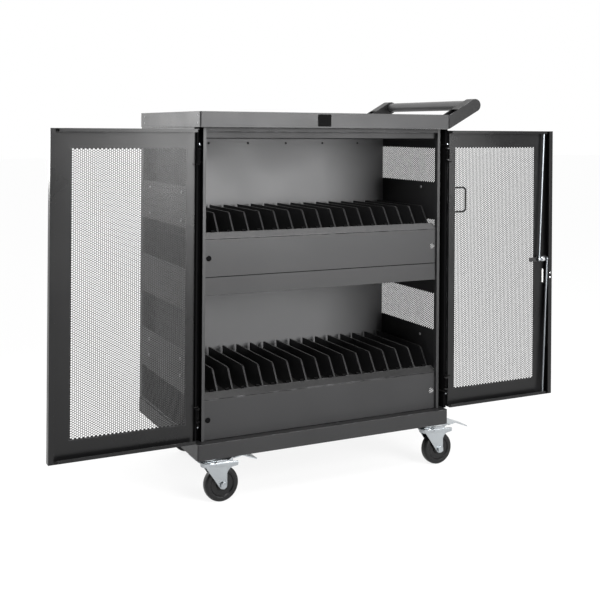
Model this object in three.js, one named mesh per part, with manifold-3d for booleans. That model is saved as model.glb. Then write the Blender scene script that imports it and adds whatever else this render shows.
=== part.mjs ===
// A charging cart for portable computers: a folded sheet steel cabinet on four casters, with two perforated
// front doors swung fully open, two divided shelves, a rear power bay and a push handle on its right end.
// Millimetres. X runs across the cart, Y from its front plane to its back, Z up from the floor.
import * as THREE from "three";
import { mergeVertices } from "three/addons/utils/BufferGeometryUtils.js";
import Module from "manifold-3d";

// Cabinet
const CART_WIDTH = 820;
const CART_DEPTH = 538;
const CASTER_HEIGHT = 135;
const BODY_HEIGHT = 955.5;
const BASE_HEIGHT = 44.5;
const CAP_HEIGHT = 44;
const SHEET = 1.6;
const GAP = 0.3;
const CORNER_RADIUS = 4;
const RIM_WIDTH = 28;
const PANEL_INSET = 2.4;

// Front frame, as places inwards from the cart's side and front planes
const POCKET_DEPTH = 45;
const JAMB_PLANE = 23;
const JAMB_OUTER = 18.4;
const JAMB_INNER = 27.4;
const JAMB_RETURN = 37;
const HEADER_RETURN = 62;
const POST_OUTER = 2.2;
const POST_FRONT = 18.5;
const POST_FLANGE = 8.7;
const HEADER_FLANGE = 12;
const HEADER_STEP = 15;
const HEADER_DROP = 30.5;

// Front doors
const PIVOT_INSET = 1.5;
const PIVOT_DEPTH = 8.5;
const HINGE_MARGIN = 6.5;
const DOOR_WIDTH = 400;
const DOOR_BOTTOM = 185.6;
const DOOR_TOP = 1041.8;
const DOOR_THICKNESS = 22.5;
const DOOR_FREE_LIP = 13.5;
const DOOR_END_LIP = 9;
const DOOR_CORNER_RELIEF = 10;
const DOOR_HINGE_FLANGE = 8;
const FIELD_MARGIN_HINGE = 28;
const FIELD_MARGIN_FREE = 59;
const FIELD_MARGIN_ENDS = 53;
const DOOR_HOLE_PITCH = 82;
const DOOR_HOLE_RADIUS = 43;

// Spring hinge pins and the tabs that hold them
const PIN_RADIUS = 2.2;
const PIN_HOLE = 2.6;
const TAB_HEIGHT = 995;
const TAB_THICKNESS = 3;
const TAB_RADIUS = 5.5;
const PIN_REACH = 5;

// Shelves
const SHELF_FRONT = 31;
const UPPER_LIP_TOP = 753;
const LOWER_LIP_TOP = 308;
const LIP_RISE = 18;
const LIP_RUN = 16.5;
const DECK_DROP = 20;
const UPPER_FASCIA_BOTTOM = 630.8;
const BEAM_BOTTOM = 579;
const FASCIA_RETURN = 15;
const FASCIA_HOLE_RADIUS = 8;
const FASCIA_HOLE_INSET = 40;
const BAY_BACK = 386;
const SLOT_COUNT = 16;
const SLOT_PITCH = 47;
const DIVIDER_THICKNESS = 5;
const DIVIDER_HEIGHT = 70;

// Side panel perforation: four bands, as heights above the base's underside
const BAND_HEIGHTS = [
  [51, 158],
  [276, 394],
  [510, 626],
  [742, 852],
];
const BAND_FRONT = 72;
const BAND_BACK = 492;
const BAND_HOLE_RADIUS = 27;
const BAND_HOLE_PITCH = 56;

// Casters
const WHEEL_RADIUS = 50;
const WHEEL_WIDTH = 30;
const WHEEL_FACETS = 14;
const CASTER_TRAIL = 39;
const CASTER_INSET_X = 47.6;
const REAR_CASTER_INSET_X = 108;
const CASTER_INSET_Y = 48;
const AXLE_RADIUS = 6;
const FORK_HALF_WIDTH = 20.5;
const FORK_PLATE = 3.3;
const BRAKE_PIVOT = [20, 109];
const PADDLE_WIDTH = 46;

// Push handle
const HANDLE_TIP = [508, 1122];
const HANDLE_TIP_RADIUS = 20;
const HANDLE_BRACKET_WIDTH = 40;
const HANDLE_BAR_RADIUS = 15.5;

// Right door lock
const LOCK_FROM_FREE_EDGE = 30.5;
const LOCK_HEIGHT = 625;
const CAM_PIN_RADIUS = 16.5;
const ROD_RADIUS = 3.5;

// Places worked out from the driving dimensions
const HALF_WIDTH = CART_WIDTH / 2;
const BASE_TOP = CASTER_HEIGHT + BASE_HEIGHT;
const CAP_TOP = CASTER_HEIGHT + BODY_HEIGHT;
const CAP_BOTTOM = CAP_TOP - CAP_HEIGHT;
const PIVOT_X = HALF_WIDTH - PIVOT_INSET;
const DOOR_BACK = 2 * PIVOT_DEPTH;
const DOOR_FRONT = DOOR_BACK - DOOR_THICKNESS;
const DOOR_HINGE_EDGE = PIVOT_X + HINGE_MARGIN;
const DOOR_FREE_EDGE = DOOR_HINGE_EDGE + DOOR_WIDTH;
const BAY_HALF_WIDTH = HALF_WIDTH - JAMB_INNER - GAP;
const PANEL_OUTER = HALF_WIDTH - PANEL_INSET;
const PANEL_INNER = PANEL_OUTER - SHEET;
const LOCK_X = DOOR_FREE_EDGE - LOCK_FROM_FREE_EDGE;
const BOX_CENTRE_Y = (DOOR_FRONT + CART_DEPTH) / 2;

const wasm = await Module();
wasm.setup();

// A closed geometry as a solid that can be joined to others and cut by them.
function solid(geometry) {
  const bare = geometry.clone();
  bare.deleteAttribute("normal");
  bare.deleteAttribute("uv");
  const merged = mergeVertices(bare, 1e-4);
  const corners = merged.index.array;
  const triangles = [];
  for (let i = 0; i < corners.length; i += 3) {
    const [a, b, c] = [corners[i], corners[i + 1], corners[i + 2]];
    if (a !== b && b !== c && c !== a) triangles.push(a, b, c);
  }
  const vertProperties = merged.attributes.position.array;
  const triVerts = new Uint32Array(triangles);
  const made = new wasm.Manifold(new wasm.Mesh({ numProp: 3, vertProperties, triVerts }));
  if (made.volume() > 0) return made;
  triVerts.reverse();
  return new wasm.Manifold(new wasm.Mesh({ numProp: 3, vertProperties, triVerts }));
}

function cut(body, ...tools) {
  return tools.reduce((left, tool) => left.subtract(tool), body);
}

function join(body, ...others) {
  return others.reduce((whole, other) => whole.add(other), body);
}

// A flat outline from its corners.
function outline(corners) {
  return new THREE.Shape(corners.map(([u, v]) => new THREE.Vector2(u, v)));
}

function rectangle(u0, v0, u1, v1) {
  return outline([[u0, v0], [u1, v0], [u1, v1], [u0, v1]]);
}

function roundedRectangle(u0, v0, u1, v1, radius) {
  const shape = new THREE.Shape();
  shape.absarc(u1 - radius, v0 + radius, radius, -Math.PI / 2, 0);
  shape.absarc(u1 - radius, v1 - radius, radius, 0, Math.PI / 2);
  shape.absarc(u0 + radius, v1 - radius, radius, Math.PI / 2, Math.PI);
  shape.absarc(u0 + radius, v0 + radius, radius, Math.PI, 1.5 * Math.PI);
  return shape;
}

function circle(u, v, radius) {
  return new THREE.Shape().absarc(u, v, radius, 0, 2 * Math.PI);
}

function hexagon(u, v, radius) {
  const corners = [];
  for (let i = 0; i < 6; i++) {
    const turn = (i * Math.PI) / 3;
    corners.push(new THREE.Vector2(u + radius * Math.cos(turn), v + radius * Math.sin(turn)));
  }
  return new THREE.Path(corners);
}

// The section of a bent sheet: the path runs along one face, and the thickness lies to its left,
// or to its right where it is negative.
function foldedSheet(path, thickness) {
  const points = path.map(([u, v]) => new THREE.Vector2(u, v));
  const normals = [];
  for (let i = 0; i + 1 < points.length; i++) {
    const run = points[i + 1].clone().sub(points[i]).normalize();
    normals.push(new THREE.Vector2(-run.y, run.x));
  }
  const other = points.map((point, i) => {
    const before = normals[Math.max(i - 1, 0)];
    const after = normals[Math.min(i, normals.length - 1)];
    const mitre = before.clone().add(after).divideScalar(1 + before.dot(after));
    return point.clone().addScaledVector(mitre, thickness);
  });
  return new THREE.Shape([...points, ...other.reverse()]);
}

// Outlines are drawn in (y, z) to run along X, in (x, z) to run along Y, and in (x, y) to run along Z.
const AXES = {
  x: new THREE.Matrix4().set(0, 0, 1, 0, 1, 0, 0, 0, 0, 1, 0, 0, 0, 0, 0, 1),
  y: new THREE.Matrix4().set(1, 0, 0, 0, 0, 0, -1, 0, 0, 1, 0, 0, 0, 0, 0, 1),
  z: new THREE.Matrix4(),
};

function extruded(shape, axis, from, to, curveSegments = 4) {
  const depth = to - from;
  const geometry = new THREE.ExtrudeGeometry(shape, { depth, bevelEnabled: false, curveSegments });
  geometry.translate(0, 0, axis === "y" ? -to : from);
  geometry.applyMatrix4(AXES[axis]);
  return solid(geometry);
}

function block(x0, y0, z0, x1, y1, z1) {
  return extruded(rectangle(x0, y0, x1, y1), "z", z0, z1);
}

// A round piece: the profile holds (radius, place along the axis) pairs.
function turned(profile, axis, centre, segments) {
  const points = profile.map(([radius, along]) => new THREE.Vector2(radius, along));
  const geometry = new THREE.LatheGeometry(points, segments);
  if (axis === "z") geometry.rotateX(Math.PI / 2);
  if (axis === "x") geometry.rotateZ(-Math.PI / 2);
  geometry.translate(...centre);
  return solid(geometry);
}

function rod(radius, axis, centre, from, to, segments = 12) {
  return turned([[0, from], [radius, from], [radius, to], [0, to]], axis, centre, segments);
}

const FINISHES = {
  blackPaint: { color: 0x303134, roughness: 0.55, metalness: 0.25 },
  zinc: { color: 0xb4bbc2, roughness: 0.35, metalness: 0.9 },
  chrome: { color: 0xd5d8db, roughness: 0.15, metalness: 1 },
  blackPlastic: { color: 0x1a1b1c, roughness: 0.5, metalness: 0 },
  rubber: { color: 0x121314, roughness: 0.8, metalness: 0 },
  grip: { color: 0x1e1f20, roughness: 0.7, metalness: 0 },
};

function piece(name, body, finish) {
  const made = body.getMesh();
  const geometry = new THREE.BufferGeometry();
  geometry.setAttribute("position", new THREE.BufferAttribute(made.vertProperties, 3));
  geometry.setIndex(new THREE.BufferAttribute(made.triVerts, 1));
  geometry.computeVertexNormals();
  const mesh = new THREE.Mesh(geometry, new THREE.MeshStandardMaterial(FINISHES[finish]));
  mesh.name = name;
  return mesh;
}

// Hexagonal holes that fill a rectangle of a sheet, in upright columns of which every second one is staggered.
function perforation(u0, v0, u1, v1, pitch, radius) {
  const columnPitch = pitch * Math.sin(Math.PI / 3);
  const holeHeight = 2 * radius * Math.sin(Math.PI / 3);
  const columns = Math.floor((u1 - u0 - 2 * radius) / columnPitch) + 1;
  const rows = Math.floor((v1 - v0 - holeHeight) / pitch) + 1;
  const holes = [];
  for (let column = 0; column < columns; column++) {
    const staggered = column % 2;
    for (let row = 0; row < rows - staggered; row++) {
      const u = (u0 + u1) / 2 + (column - (columns - 1) / 2) * columnPitch;
      const v = (v0 + v1) / 2 + (row + staggered / 2 - (rows - 1) / 2) * pitch;
      holes.push(hexagon(u, v, radius));
    }
  }
  return holes;
}

// The shallow pans at the cabinet's foot and head: a tray with an inturned rim round its open side.
function rimmedPan(bottom, top, openTop) {
  const shape = (inset) =>
    roundedRectangle(-HALF_WIDTH + inset, inset, HALF_WIDTH - inset, CART_DEPTH - inset, CORNER_RADIUS);
  const outer = extruded(shape(0), "z", bottom, top, 2);
  const hollow = extruded(shape(SHEET), "z", bottom + SHEET, top - SHEET, 1);
  const middle = (bottom + top) / 2;
  const mouth = extruded(shape(RIM_WIDTH), "z", openTop ? middle : bottom - 1, openTop ? top + 1 : middle, 1);
  return cut(outer, hollow, mouth);
}

// Where the lock rods pass the pans' rims when the right door is shut.
const KEEPER_X = 2 * PIVOT_X - LOCK_X;
const ROD_PLANE = 2;
const KEEPER_Y = 2 * PIVOT_DEPTH - ROD_PLANE;
const KEEPER_RADIUS = 6;
const INLET_X = 300;
const INLET_HALF = [24, 14];

function baseFrame() {
  const middle = (CASTER_HEIGHT + BASE_TOP) / 2;
  const keeper = rod(KEEPER_RADIUS, "z", [KEEPER_X, KEEPER_Y, 0], BASE_TOP - 5, BASE_TOP + 5);
  const [halfX, halfZ] = INLET_HALF;
  const inletWindow = block(
    INLET_X - halfX, CART_DEPTH - 5, middle - halfZ, INLET_X + halfX, CART_DEPTH + 5, middle + halfZ,
  );
  return cut(rimmedPan(CASTER_HEIGHT, BASE_TOP, true), keeper, inletWindow);
}

// A three-pole power inlet behind its window in the base's rear skirt.
function powerInlet() {
  const z = (CASTER_HEIGHT + BASE_TOP) / 2;
  const [halfX, halfZ] = INLET_HALF;
  const flangeFront = CART_DEPTH - SHEET - GAP;
  const flangeRim = 5;
  const shellFit = 0.6;
  const wall = 2.2;
  const flange = block(
    INLET_X - halfX - flangeRim, flangeFront - 2, z - halfZ - flangeRim,
    INLET_X + halfX + flangeRim, flangeFront, z + halfZ + flangeRim,
  );
  const body = block(
    INLET_X - halfX + shellFit, flangeFront - 24, z - halfZ + shellFit,
    INLET_X + halfX - shellFit, CART_DEPTH - GAP, z + halfZ - shellFit,
  );
  const well = block(
    INLET_X - halfX + shellFit + wall, flangeFront - 18, z - halfZ + shellFit + wall,
    INLET_X + halfX - shellFit - wall, CART_DEPTH + 1, z + halfZ - shellFit - wall,
  );
  const pins = [[-7, -3], [0, 3], [7, -3]].map(([dx, dz]) =>
    block(INLET_X + dx - 1, flangeFront - 20, z + dz - 2.5, INLET_X + dx + 1, flangeFront - 3, z + dz + 2.5),
  );
  return join(cut(join(flange, body), well), ...pins);
}

function topCap() {
  const keeper = rod(KEEPER_RADIUS, "z", [KEEPER_X, KEEPER_Y, 0], CAP_BOTTOM - 5, CAP_BOTTOM + 5);
  return cut(rimmedPan(CAP_BOTTOM, CAP_TOP, false), keeper);
}

// A plain plate on the cap's front, a little to the left of its middle.
function badgePlate() {
  const centre = [-27, CAP_BOTTOM + CAP_HEIGHT / 2];
  const half = [21.5, 17.5];
  const shape = roundedRectangle(
    centre[0] - half[0], centre[1] - half[1], centre[0] + half[0], centre[1] + half[1], 2,
  );
  return extruded(shape, "y", -GAP - 1, -GAP, 2);
}

// The right-hand side panel. The left one is its mirror image.
function sidePanel() {
  const back = CART_DEPTH - 2;
  const shape = rectangle(POCKET_DEPTH + SHEET + GAP, BASE_TOP + GAP, back, CAP_BOTTOM - GAP);
  for (const [low, high] of BAND_HEIGHTS) {
    const bottom = CASTER_HEIGHT + low;
    const top = CASTER_HEIGHT + high;
    shape.holes.push(...perforation(BAND_FRONT, bottom, BAND_BACK, top, BAND_HOLE_PITCH, BAND_HOLE_RADIUS));
  }
  return extruded(shape, "x", PANEL_INNER, PANEL_OUTER);
}

// The right-hand front post: one bent sheet with a flange behind the open door, a wall that closes the cart's
// side, the dark pocket that the door's hinge side swings in, and a narrow jamb. Two tabs reach forward out of
// the pocket to the hinge line.
function frontPost() {
  const inFromSide = ([inset, depth]) => [HALF_WIDTH - inset, depth];
  const section = [
    [POST_OUTER - POST_FLANGE, POST_FRONT],
    [POST_OUTER, POST_FRONT],
    [POST_OUTER, POCKET_DEPTH],
    [JAMB_OUTER, POCKET_DEPTH],
    [JAMB_OUTER, JAMB_PLANE],
    [JAMB_INNER, JAMB_PLANE],
    [JAMB_INNER, JAMB_RETURN],
  ].map(inFromSide);
  const post = extruded(foldedSheet(section, -SHEET), "z", BASE_TOP + GAP, CAP_BOTTOM - GAP);
  const tab = new THREE.Shape();
  tab.absarc(PIVOT_X, PIVOT_DEPTH, TAB_RADIUS, Math.PI, 2 * Math.PI);
  tab.lineTo(PIVOT_X + TAB_RADIUS, 30);
  tab.lineTo(HALF_WIDTH - POST_OUTER, POCKET_DEPTH + SHEET / 2);
  tab.lineTo(HALF_WIDTH - JAMB_OUTER - SHEET / 2, POCKET_DEPTH + SHEET / 2);
  tab.lineTo(HALF_WIDTH - JAMB_OUTER - SHEET / 2, POCKET_DEPTH - 6);
  tab.lineTo(PIVOT_X - TAB_RADIUS, 28);
  tab.holes.push(circle(PIVOT_X, PIVOT_DEPTH, PIN_HOLE));
  const upper = extruded(tab, "z", TAB_HEIGHT, TAB_HEIGHT + TAB_THICKNESS);
  const lowerTop = DOOR_BOTTOM + DOOR_TOP - TAB_HEIGHT;
  const lower = extruded(tab, "z", lowerTop - TAB_THICKNESS, lowerTop);
  return join(post, upper, lower);
}

// The stepped rail under the cap, between the posts.
function headerRail() {
  const flangeBottom = CAP_BOTTOM - HEADER_FLANGE;
  const bottom = CAP_BOTTOM - HEADER_DROP;
  const section = [
    [JAMB_PLANE, CAP_BOTTOM - GAP],
    [JAMB_PLANE, flangeBottom],
    [JAMB_PLANE + HEADER_STEP, flangeBottom],
    [JAMB_PLANE + HEADER_STEP, bottom],
    [HEADER_RETURN, bottom],
  ];
  return extruded(foldedSheet(section, SHEET), "x", -BAY_HALF_WIDTH, BAY_HALF_WIDTH);
}

// A channel that faces the front of a shelf, between the posts.
function frontChannel(bottom, top, depth) {
  const section = [
    [SHELF_FRONT + depth, top],
    [SHELF_FRONT, top],
    [SHELF_FRONT, bottom],
    [SHELF_FRONT + depth, bottom],
  ];
  return extruded(foldedSheet(section, SHEET), "x", -BAY_HALF_WIDTH, BAY_HALF_WIDTH);
}

function fascia(bottom, lipTop) {
  const top = lipTop - LIP_RISE;
  const middle = (bottom + top) / 2;
  const holes = [-1, 1].map((side) => {
    const x = side * (HALF_WIDTH - FASCIA_HOLE_INSET);
    return rod(FASCIA_HOLE_RADIUS, "y", [x, 0, middle], SHELF_FRONT - 5, SHELF_FRONT + 5, 12);
  });
  return cut(frontChannel(bottom, top, FASCIA_RETURN), ...holes);
}

// A shelf: a sloping front lip that folds down into the deck, and a low upstand at the back.
function shelfDeck(lipTop) {
  const foot = lipTop - LIP_RISE + 2;
  const deck = lipTop - DECK_DROP;
  const crest = SHELF_FRONT + LIP_RUN;
  const crestWidth = 4.5;
  const upstand = 30;
  const back = BAY_BACK - SHEET - GAP;
  const section = [
    [SHELF_FRONT, foot],
    [crest, lipTop],
    [crest + crestWidth, lipTop],
    [crest + crestWidth, deck],
    [back - SHEET, deck],
    [back - SHEET, deck + upstand],
  ];
  const between = extruded(foldedSheet(section, -SHEET), "x", -BAY_HALF_WIDTH, BAY_HALF_WIDTH);
  const wide = PANEL_INNER - GAP;
  const wings = block(-wide, HEADER_RETURN + 4, deck - SHEET, wide, back - SHEET, deck);
  return join(between, wings);
}

// A rack of low dividers on one tray: raked at the front, rounded at the top corner.
function dividerRack(lipTop) {
  const foot = lipTop - DECK_DROP + GAP;
  const tray = 2;
  const front = SHELF_FRONT + 33;
  const back = BAY_BACK - 16;
  const top = foot + DIVIDER_HEIGHT;
  const noseRadius = 12;
  const fin = new THREE.Shape();
  fin.moveTo(front, foot + tray / 2);
  fin.lineTo(back, foot + tray / 2);
  fin.lineTo(back, top);
  fin.absarc(front + 45, top - noseRadius, noseRadius, Math.PI / 2, Math.PI * 0.8);
  fin.lineTo(front, foot + 14);
  const half = (SLOT_COUNT * SLOT_PITCH + DIVIDER_THICKNESS) / 2;
  const fins = [];
  for (let i = 0; i <= SLOT_COUNT; i++) {
    const x = (i - SLOT_COUNT / 2) * SLOT_PITCH;
    fins.push(extruded(fin, "x", x - DIVIDER_THICKNESS / 2, x + DIVIDER_THICKNESS / 2, 1));
  }
  return join(block(-half, front - 4, foot, half, back + 4, foot + tray), ...fins);
}

// The wall between the shelves and the rear power bay, with a row of small holes under the cap.
function bayBackPanel() {
  const wide = PANEL_INNER - GAP;
  const shape = rectangle(-wide, BASE_TOP + GAP, wide, CAP_BOTTOM - GAP);
  const holeHeight = CASTER_HEIGHT + 862;
  const holeSpacing = 135;
  const firstHole = -371;
  for (let i = 0; i < 6; i++) shape.holes.push(hexagon(firstHole + i * holeSpacing, holeHeight, 4.5));
  return extruded(shape, "y", BAY_BACK, BAY_BACK + SHEET);
}

// A strip of outlets on the back of that wall.
function powerStrip(lipTop) {
  const bottom = lipTop - 95;
  const front = BAY_BACK + SHEET + GAP;
  return extruded(roundedRectangle(front, bottom, front + 44, bottom + 52, 5), "x", -310, 310, 2);
}

// The ring that stiffens the cabinet's back and stops the rear doors.
const REAR_PLANE = 513.6;
const REAR_FRAME_WIDTH = 36;
function rearFrame() {
  const wide = PANEL_INNER - GAP;
  const bottom = BASE_TOP + GAP;
  const top = CAP_BOTTOM - GAP;
  const depth = 20;
  const outer = block(-wide, REAR_PLANE - depth, bottom, wide, REAR_PLANE, top);
  const hollow = block(
    -wide + SHEET, REAR_PLANE - depth - 1, bottom + SHEET, wide - SHEET, REAR_PLANE - SHEET, top - SHEET,
  );
  const window = block(
    -wide + REAR_FRAME_WIDTH, REAR_PLANE - 5, bottom + REAR_FRAME_WIDTH,
    wide - REAR_FRAME_WIDTH, REAR_PLANE + 1, top - REAR_FRAME_WIDTH,
  );
  return cut(outer, hollow, window);
}

// The right-hand rear door: a flanged pan with two blocks of ventilation slots and hinge knuckles at its edge.
const REAR_PIVOT_X = HALF_WIDTH - 9;
const REAR_PIVOT_Y = 531;
const REAR_DOOR_FRONT = REAR_PLANE + 0.9;
const REAR_DOOR_BACK = 530;
const REAR_DOOR_OUTER = HALF_WIDTH - 13;
const REAR_DOOR_INNER = 1.5;
const REAR_LOCK_X = 32;
const REAR_LOCK_Z = 612;
function rearDoor(withLock) {
  const bottom = BASE_TOP + 4;
  const top = CAP_BOTTOM - 4;
  const pan = block(REAR_DOOR_INNER, REAR_DOOR_FRONT, bottom, REAR_DOOR_OUTER, REAR_DOOR_BACK, top);
  const hollow = block(
    REAR_DOOR_INNER + SHEET, REAR_DOOR_FRONT - 1, bottom + SHEET,
    REAR_DOOR_OUTER - SHEET, REAR_DOOR_BACK - SHEET, top - SHEET,
  );
  const slots = [];
  const slotHalf = [3, 45];
  for (const z of [bottom + 130, top - 130]) {
    for (let i = 0; i < 5; i++) {
      const x = 140 + i * 34;
      const shape = rectangle(x - slotHalf[0], z - slotHalf[1], x + slotHalf[0], z + slotHalf[1]);
      slots.push(extruded(shape, "y", REAR_DOOR_BACK - 5, REAR_DOOR_BACK + 5));
    }
  }
  const knuckles = [bottom + 110, top - 110].map((z) => {
    const barrel = rod(4, "z", [REAR_PIVOT_X, REAR_PIVOT_Y, 0], z - 32, z + 32, 8);
    const leaf = block(
      REAR_DOOR_OUTER - 25, REAR_DOOR_BACK - 0.5, z - 32, REAR_PIVOT_X, REAR_DOOR_BACK + 2.2, z + 32,
    );
    return join(barrel, leaf);
  });
  const door = join(cut(pan, hollow, ...slots), ...knuckles);
  if (!withLock) return door;
  const bore = rod(9.4, "y", [REAR_LOCK_X, 0, REAR_LOCK_Z], REAR_DOOR_BACK - 5, REAR_DOOR_BACK + 5, 16);
  return cut(door, bore);
}

// The rear cam lock: a round barrel with its cam hanging down, clear of the other door.
function rearLock() {
  const inner = REAR_DOOR_FRONT - 4.5;
  const barrel = turned(
    [[0, inner], [8.9, inner], [8.9, REAR_DOOR_BACK + GAP], [12, REAR_DOOR_BACK + GAP],
      [12, CART_DEPTH - 4], [10.5, CART_DEPTH - 2.5], [0, CART_DEPTH - 2.5]],
    "y", [REAR_LOCK_X, 0, REAR_LOCK_Z], 12,
  );
  const slit = block(
    REAR_LOCK_X - 1.2, CART_DEPTH - 6, REAR_LOCK_Z - 5, REAR_LOCK_X + 1.2, CART_DEPTH, REAR_LOCK_Z + 5,
  );
  const cam = extruded(
    roundedRectangle(REAR_LOCK_X - 7, REAR_LOCK_Z - 38, REAR_LOCK_X + 7, REAR_LOCK_Z + 7, 5),
    "y", inner, inner + 3, 2,
  );
  return join(cut(barrel, slit), cam);
}

// The right door's frame, shown open: a flange all round, low on the hinge side, with an inturned lip on the
// other three. The lips are relieved at the free corners. On the hinge side two brackets with pierced ears
// carry the spring pins.
const EAR_THICKNESS = 3;
const EAR_HEIGHTS = [950, 985];
function doorFrame(withLock) {
  const back = DOOR_BACK - SHEET;
  const frameBack = back - GAP;
  const outer = block(DOOR_HINGE_EDGE, DOOR_FRONT, DOOR_BOTTOM, DOOR_FREE_EDGE, frameBack, DOOR_TOP);
  const hollow = block(
    DOOR_HINGE_EDGE + SHEET, DOOR_FRONT + SHEET, DOOR_BOTTOM + SHEET,
    DOOR_FREE_EDGE - SHEET, frameBack + 1, DOOR_TOP - SHEET,
  );
  const mouth = block(
    DOOR_HINGE_EDGE + SHEET, DOOR_FRONT - 1, DOOR_BOTTOM + DOOR_END_LIP,
    DOOR_FREE_EDGE - DOOR_FREE_LIP, DOOR_FRONT + 5, DOOR_TOP - DOOR_END_LIP,
  );
  const lowered = block(
    DOOR_HINGE_EDGE - 1, DOOR_FRONT - 1, DOOR_BOTTOM + SHEET,
    DOOR_HINGE_EDGE + 2 * SHEET, frameBack - DOOR_HINGE_FLANGE, DOOR_TOP - SHEET,
  );
  const reliefEnd = DOOR_FREE_EDGE - DOOR_FREE_LIP;
  const reliefs = [
    [DOOR_BOTTOM + SHEET, DOOR_BOTTOM + DOOR_END_LIP + 1],
    [DOOR_TOP - DOOR_END_LIP - 1, DOOR_TOP - SHEET],
  ].map(([low, high]) =>
    block(reliefEnd - DOOR_CORNER_RELIEF, DOOR_FRONT - 1, low, reliefEnd, DOOR_FRONT + SHEET + 1, high),
  );
  const brackets = [];
  for (const mirrored of [false, true]) {
    const height = (z) => (mirrored ? DOOR_BOTTOM + DOOR_TOP - z : z);
    const span = (low, high) => [height(low), height(high)].sort((a, b) => a - b);
    const [padLow, padHigh] = span(EAR_HEIGHTS[0], EAR_HEIGHTS[1] + EAR_THICKNESS);
    const earFront = PIVOT_DEPTH - 6;
    const earBack = frameBack - 1;
    brackets.push(
      block(DOOR_HINGE_EDGE - SHEET, earFront, padLow, DOOR_HINGE_EDGE + SHEET / 2, earBack, padHigh),
    );
    for (const ear of EAR_HEIGHTS) {
      const shape = new THREE.Shape();
      shape.absarc(PIVOT_X, PIVOT_DEPTH, TAB_RADIUS, Math.PI / 2, 1.5 * Math.PI);
      shape.lineTo(DOOR_HINGE_EDGE + SHEET / 2, PIVOT_DEPTH - TAB_RADIUS);
      shape.lineTo(DOOR_HINGE_EDGE + SHEET / 2, PIVOT_DEPTH + TAB_RADIUS);
      shape.holes.push(circle(PIVOT_X, PIVOT_DEPTH, PIN_HOLE));
      brackets.push(extruded(shape, "z", ...span(ear, ear + EAR_THICKNESS), 3));
    }
  }
  const frame = join(cut(outer, hollow, mouth, lowered, ...reliefs), ...brackets);
  if (!withLock) return frame;
  const guides = [DOOR_BOTTOM, DOOR_TOP].map((z) =>
    rod(ROD_RADIUS + 1.2, "z", [LOCK_X, ROD_PLANE, 0], z - 5, z + 5),
  );
  return cut(frame, ...guides);
}

// The door's face sheet, perforated in its middle, behind the frame while the door is open.
function doorSkin(withLock) {
  const shape = rectangle(DOOR_HINGE_EDGE, DOOR_BOTTOM, DOOR_FREE_EDGE, DOOR_TOP);
  shape.holes.push(
    ...perforation(
      DOOR_HINGE_EDGE + FIELD_MARGIN_HINGE, DOOR_BOTTOM + FIELD_MARGIN_ENDS,
      DOOR_FREE_EDGE - FIELD_MARGIN_FREE, DOOR_TOP - FIELD_MARGIN_ENDS,
      DOOR_HOLE_PITCH, DOOR_HOLE_RADIUS,
    ),
  );
  if (withLock) shape.holes.push(circle(LOCK_X, LOCK_HEIGHT, 7.6));
  return extruded(shape, "y", DOOR_BACK - SHEET, DOOR_BACK);
}

// A spring-loaded hinge pin: a shouldered rod with a short pull tail. It points up at the top of a door.
function hingePin(atTop) {
  const tip = TAB_HEIGHT + TAB_THICKNESS + PIN_REACH;
  const foot = EAR_HEIGHTS[0] - 7;
  const collar = EAR_HEIGHTS[1] - 11;
  const shank = turned(
    [[0, foot], [PIN_RADIUS, foot], [PIN_RADIUS, collar], [4, collar], [4, collar + 4],
      [PIN_RADIUS, collar + 4], [PIN_RADIUS, tip - 2], [PIN_RADIUS - 1, tip], [0, tip]],
    "z", [PIVOT_X, PIVOT_DEPTH, 0], 7,
  );
  const tail = rod(1.7, "x", [0, PIVOT_DEPTH - 3.2, foot + 2], PIVOT_X - 1, PIVOT_X + 14, 6);
  const pin = join(shank, tail);
  if (atTop) return pin;
  const turnOver = new THREE.Matrix4().makeScale(1, 1, -1).setPosition(0, 0, DOOR_BOTTOM + DOOR_TOP);
  const geometry = piece("", pin, "zinc").geometry;
  return solid(geometry.applyMatrix4(turnOver));
}

// The lock's plate on the door's face, which points to the back while the door is open.
const PLATE_BACK = DOOR_BACK + GAP + 5;
function lockEscutcheon() {
  const shape = roundedRectangle(LOCK_X - 17, LOCK_HEIGHT - 62, LOCK_X + 17, LOCK_HEIGHT + 42, 15);
  shape.holes.push(circle(LOCK_X, LOCK_HEIGHT, 7.6));
  return extruded(shape, "y", DOOR_BACK + GAP, PLATE_BACK, 4);
}

// A lever on a round spindle. The spindle passes the door's face and carries the cam inside.
const CAM_FRONT = 8;
function lockHandle() {
  const hub = turned(
    [[0, CAM_FRONT + 4], [7, CAM_FRONT + 4], [7, PLATE_BACK + GAP], [15, PLATE_BACK + GAP],
      [15, PLATE_BACK + 12], [13, PLATE_BACK + 15], [0, PLATE_BACK + 15]],
    "y", [LOCK_X, 0, LOCK_HEIGHT], 16,
  );
  const lever = new THREE.Shape();
  lever.absarc(LOCK_X, LOCK_HEIGHT, 10, 0, Math.PI);
  lever.absarc(LOCK_X, LOCK_HEIGHT - 105, 7, Math.PI, 2 * Math.PI);
  return join(hub, extruded(lever, "y", PLATE_BACK + 5, PLATE_BACK + 14, 5));
}

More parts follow.
